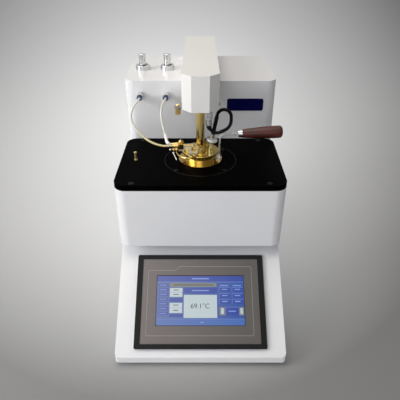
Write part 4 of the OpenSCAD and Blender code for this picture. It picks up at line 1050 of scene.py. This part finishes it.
# %% Route of the boot: down, then bent towards the cable
BOOT_BEND, BOOT_TURN = 6.0, math.radians(20)
BOOT_NECK = 1.5
BEND_STEPS, BEND_STEP = 10, 5
TAIL_STEP = 0.5
boot_path = [Vector((0, 0, 1.0)), Vector((0, 0, -0.6))]
for step in range(BEND_STEPS):
    a = math.radians(BEND_STEP * step)
    out = BOOT_BEND * (1 - math.cos(a))
    boot_path.append(Vector((out * math.cos(BOOT_TURN), -out * math.sin(BOOT_TURN),
                             -BOOT_NECK - BOOT_BEND * math.sin(a))))
tail = (boot_path[-1] - boot_path[-2]).normalized()
boot_path += [boot_path[-1] + tail * step * TAIL_STEP for step in (1, 2, 3, 4, 5)]
boot_path = fine_path([PLUG_AT + p * MM for p in boot_path], per_step=4)
print("the boot is", round(length_of(boot_path) / MM, 1), "mm long")

# %% Boot and heat shrink
BOOT_R, BOOT_TAPER = 4.5, 1.0
RIB_H, RIBS, PLAIN_NECK = 0.22, 4, 0.15
SHRINK_R, SHRINK_SWELL, SWELL_RATE = 3.0, 0.55, 12
SHRINK_TOP = 362 * MM


def boot_radius(share):
    """A taper with shallow ribs below its plain neck."""
    rib = RIB_H * math.sin(share * 2 * RIBS * math.pi) if share > PLAIN_NECK else 0.0
    return (BOOT_R - BOOT_TAPER * share + rib) * MM


def shrink_radius(share):
    """A thin sleeve over the cable, which swells from its upper edge."""
    return (SHRINK_R + SHRINK_SWELL * min(1.0, share * SWELL_RATE)) * MM


boot = tube("plug_boot", boot_path, boot_radius, sides=24)
shrink_path = [p for p in cable_path[len(cable_path) // 2 :] if p[2] < SHRINK_TOP]
shrink = tube("sensor_heat_shrink", shrink_path, shrink_radius, sides=20)
for piece in (boot, shrink):
    paint(piece, heat_shrink)
    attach(piece, "head")
print("heat shrink over the last", round(length_of(shrink_path) / MM), "mm of the cable")

# %% [markdown]
# ## Marks on the lid and the bath
#
# The turning shutter has a milled slot that its drive pin runs in, and the lid has a small
# vent beside it. The ring that holds the cup is let into the black plate, and its edge shows
# as a thin grey line. The slot is a black strip of painted shade, with a painted highlight
# along one edge. These are shallow features a few tenths of a millimetre deep, so thin
# pieces on the surface read the same as a cut and leave the frame as it is.

# %% Slot of the shutter, as painted shade with a painted highlight
SHUTTER_TOP, LID_TOP, PLATE_TOP = 301.7, 299.0, 280.0


def flat_strip(name, first, last, width, low, high, material):
    """A thin upright strip between two points beside the cup's axis, in millimetres."""
    a, b = Vector((*first, 0)), Vector((*last, 0))
    side = (b - a).normalized().cross(Vector((0, 0, 1))) * width / 2
    flat = [a - side, a + side, b + side, b - side]
    at = Vector((0, CUP_AXIS[1] / MM, 0))
    corners = [(c + at + Vector((0, 0, z))) * MM for z in (low, high) for c in flat]
    made = mesh_object(name, corners, SLAB_FACES, smooth=False)
    paint(made, material)
    return made


SLOT_H, GLINT_H = 0.08, 0.2
# A black strip is painted shade in the slot, and a bright one is a painted highlight on its edge
slot = flat_strip("shutter_slot", (0.6, -13.0), (5.4, -20.0), 2.0, SHUTTER_TOP,
                  SHUTTER_TOP + SLOT_H, black_oxide)
slot_glint = flat_strip("shutter_slot_painted_glint", (2.2, -12.2), (7.0, -19.2), 0.8, SHUTTER_TOP,
                       SHUTTER_TOP + GLINT_H, bright_nickel)
for piece in (slot, slot_glint):
    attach(piece, "shutter")
print("the slot stands", SLOT_H, "mm on the shutter, and its edge", GLINT_H, "mm")

# %% Vent of the lid and grey line at the ring's edge
VENT_AT = (9.0 * MM, CUP_AXIS[1] - 18.0 * MM, LID_TOP * MM)
RING_R, EDGE_LINE_W, EDGE_LINE_H = 64.85, 0.35, 0.06
vent_rows = [(CORE, 0), (1.9, 0), (1.9, 0.5), (1.3, 0.5), (1.3, 0.1), (CORE, 0.1)]
vent = turned("lid_vent", VENT_AT, in_metres(vent_rows), steps=24)
paint(vent, drawn_brass)
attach(vent, "head")
edge_line_rows = [(RING_R, 0.0), (RING_R, EDGE_LINE_H), (RING_R + EDGE_LINE_W, EDGE_LINE_H), (RING_R + EDGE_LINE_W, 0.0)]
ring_edge = turned("ring_edge", (*CUP_AXIS, PLATE_TOP * MM), in_metres(edge_line_rows), steps=160,
                   ring=True)
paint(ring_edge, ring_edge_grey)
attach(ring_edge, "base")
print("the ring is", 2 * RING_R, "mm across")

# %% [markdown]
# ## Studio
#
# A plain pale floor and soft light let the object speak for itself. The big lamp stands
# to the left, as in the photograph, so left faces are bright and right faces fall into
# shade. The backdrop is paper that gets lighter behind the object, as if it had a lamp of
# its own. Real light on it could do that, but would spill on the object. So the tone is only
# for the camera and for reflections: it adds no light, and the floor keeps the shadow.

# %% Rays that see the backdrop, and its own brightness
BRIGHT_SIDE = (-0.62, 0.42, 0.5)
DARK_AT, BRIGHT_AT = -0.5, 0.8
DARKEST = 0.22


def seen_rays(tree):
    """1 where the camera, a reflection or a transparent body looks, else 0."""
    ray = add(tree, "ShaderNodeLightPath")
    first = add(tree, "ShaderNodeMath", {0: ray.outputs["Is Camera Ray"],
                1: ray.outputs["Is Glossy Ray"]}, operation="MAXIMUM")
    return add(tree, "ShaderNodeMath", {0: first.outputs[0],
               1: ray.outputs["Is Transmission Ray"]}, operation="MAXIMUM").outputs[0]


def sky_level(tree, direction):
    """How bright the backdrop is in a direction: light behind and left, dark in front."""
    toward = add(tree, "ShaderNodeVectorMath", {0: direction, 1: BRIGHT_SIDE},
                 operation="DOT_PRODUCT")
    return add(tree, "ShaderNodeMapRange", {"Value": toward.outputs["Value"],
               "From Min": DARK_AT, "From Max": BRIGHT_AT, "To Min": DARKEST,
               "To Max": 1.0}).outputs["Result"]


print("the backdrop goes from", DARKEST, "to 1")

# %% Pool of light on the floor's paper
POOL_MIDDLE, POOL_RUN, POOL_END = 0.91, 1.12, 1.25
POOL_SHAPE, POOL_SHIFT = (2.0, 0.79, 0), (0.13, 0, 0)


def pool_level(tree, where, spot, glow):
    """The pool's glow: brightest behind the object, wider the further away it falls."""
    run = add(tree, "ShaderNodeMath", {0: spot.outputs[1], 1: POOL_RUN}, operation="ADD")
    span = add(tree, "ShaderNodeCombineXYZ", {0: run.outputs[0], 1: run.outputs[0],
               2: run.outputs[0]})
    off = add(tree, "ShaderNodeVectorMath", {0: where, 1: (0, POOL_MIDDLE, 0)},
              operation="SUBTRACT")
    fan = add(tree, "ShaderNodeVectorMath", {0: off.outputs[0], 1: span.outputs[0]},
              operation="DIVIDE")
    shape = add(tree, "ShaderNodeVectorMath", {0: fan.outputs[0], 1: POOL_SHAPE, 2: POOL_SHIFT},
                operation="MULTIPLY_ADD")
    away = add(tree, "ShaderNodeVectorMath", {0: shape.outputs[0]}, operation="LENGTH")
    return add(tree, "ShaderNodeMapRange", {"Value": away.outputs["Value"],
               "From Max": POOL_END, "To Min": glow, "To Max": 0.0}).outputs["Result"]


print("the pool's middle is", POOL_MIDDLE, "m behind the object's middle")

# %% How far a place is outside the picture
VIEW_SPREAD = 0.4
SIDE_FADE, BACK_FADE, FRONT_FADE = (0.47, 1.9), (4.6, 8.0), (-0.33, -1.6)


def outside_view(tree, spot):
    """0 on the part of the floor that the camera takes in, 1 well beside, behind or before."""
    side = add(tree, "ShaderNodeMath", {0: spot.outputs[0]}, operation="ABSOLUTE")
    past = add(tree, "ShaderNodeMath", {0: spot.outputs[1], 1: -VIEW_SPREAD,
               2: side.outputs[0]}, operation="MULTIPLY_ADD")
    far = None
    for value, fade in ((past.outputs[0], SIDE_FADE), (spot.outputs[1], BACK_FADE),
                        (spot.outputs[1], FRONT_FADE)):
        share = add(tree, "ShaderNodeMapRange", {"Value": value, "From Min": fade[0],
                    "From Max": fade[1]}, interpolation_type="SMOOTHSTEP").outputs["Result"]
        far = share if far is None else add(tree, "ShaderNodeMath", {0: far, 1: share},
                                            operation="MAXIMUM").outputs[0]
    return far


print("beside the picture the pool fades out over", SIDE_FADE, "m")

# %% Paper of the floor
FAR_GAIN, FAR_OFFSET = 0.84, -0.045


def backdrop_paper(name, lit, seen, glow):
    """Paper that is pale for light, and graded from grey to pale where it is looked at.
    Outside the picture it takes the backdrop's own tone, so that no horizon shows."""
    made, tree, shader, where = start(name, Roughness=0.9, Specular_IOR_Level=0.05)
    looked = seen_rays(tree)
    tone = add(tree, "ShaderNodeMix", {"Factor": looked, "A": linear(lit), "B": linear(seen)},
               data_type="RGBA")
    spot = add(tree, "ShaderNodeSeparateXYZ", {0: where})
    heading = add(tree, "ShaderNodeVectorMath", {0: where}, operation="NORMALIZE")
    beyond = add(tree, "ShaderNodeMath", {0: sky_level(tree, heading.outputs[0]), 1: FAR_GAIN,
                 2: FAR_OFFSET}, operation="MULTIPLY_ADD")
    level = add(tree, "ShaderNodeMix", {"Factor": outside_view(tree, spot),
                "A": pool_level(tree, where, spot, glow), "B": beyond.outputs[0]},
                data_type="FLOAT")
    power = add(tree, "ShaderNodeMath", {0: level.outputs["Result"], 1: looked},
                operation="MULTIPLY")
    tree.links.new(tone.outputs["Result"], shader.inputs["Base Color"])
    tree.links.new(power.outputs[0], shader.inputs["Emission Strength"])
    shader.inputs["Emission Color"].default_value = linear("#ffffff")
    return made


FLOOR_REACH = 10
corner_signs = [(-1, -1), (1, -1), (1, 1), (-1, 1)]
floor = mesh_object("floor", [(x * FLOOR_REACH, y * FLOOR_REACH, 0) for x, y in corner_signs],
                    [(0, 1, 2, 3)])
paint(floor, backdrop_paper("graded_paper", "#e6e6e6", "#8b8b8b", 0.79))
print("the floor is", 2 * FLOOR_REACH, "m square")

# %% World
AMBIENT = 0.18
world = bpy.data.worlds.new("studio")
bpy.context.scene.world = world
world.use_nodes = True
sky = world.node_tree
sky.nodes.clear()
look = add(sky, "ShaderNodeTexCoord")
ambient = add(sky, "ShaderNodeBackground", {"Color": linear("#e8eaee"), "Strength": AMBIENT})
backdrop = add(sky, "ShaderNodeBackground", {"Color": linear("#ececec"),
               "Strength": sky_level(sky, look.outputs["Generated"])})
both = add(sky, "ShaderNodeMixShader", {0: seen_rays(sky), 1: ambient.outputs[0],
           2: backdrop.outputs[0]})
add(sky, "ShaderNodeOutputWorld", {"Surface": both.outputs[0]})
print("soft light from all round:", AMBIENT)

# %% Lamps
AIM = Vector((0, -0.02, 0.2))
LAMPS = {
    # place in metres, side of the square lamp in metres, watts, colour
    "key_left": ((-1.42, -0.6, 1.0), 0.9, 19.5, "#ffffff"),
    "overhead": ((-0.4, -0.1, 1.95), 1.4, 16, "#fff8ec"),
    "front_fill": ((-0.35, -1.9, 0.85), 1.2, 7.8, "#f1f5ff"),
}
for name, (at, size, power, colour) in LAMPS.items():
    data = bpy.data.lights.new(name, "AREA")
    data.size, data.energy, data.color = size, power, linear(colour)[:3]
    light = bpy.data.objects.new(name, data)
    light.location = at
    light.rotation_mode = "QUATERNION"
    light.rotation_quaternion = (AIM - Vector(at)).to_track_quat("-Z", "Y")
    bpy.context.scene.collection.objects.link(light)
    print(name, power, "W,", round((AIM - Vector(at)).length, 2), "m away")
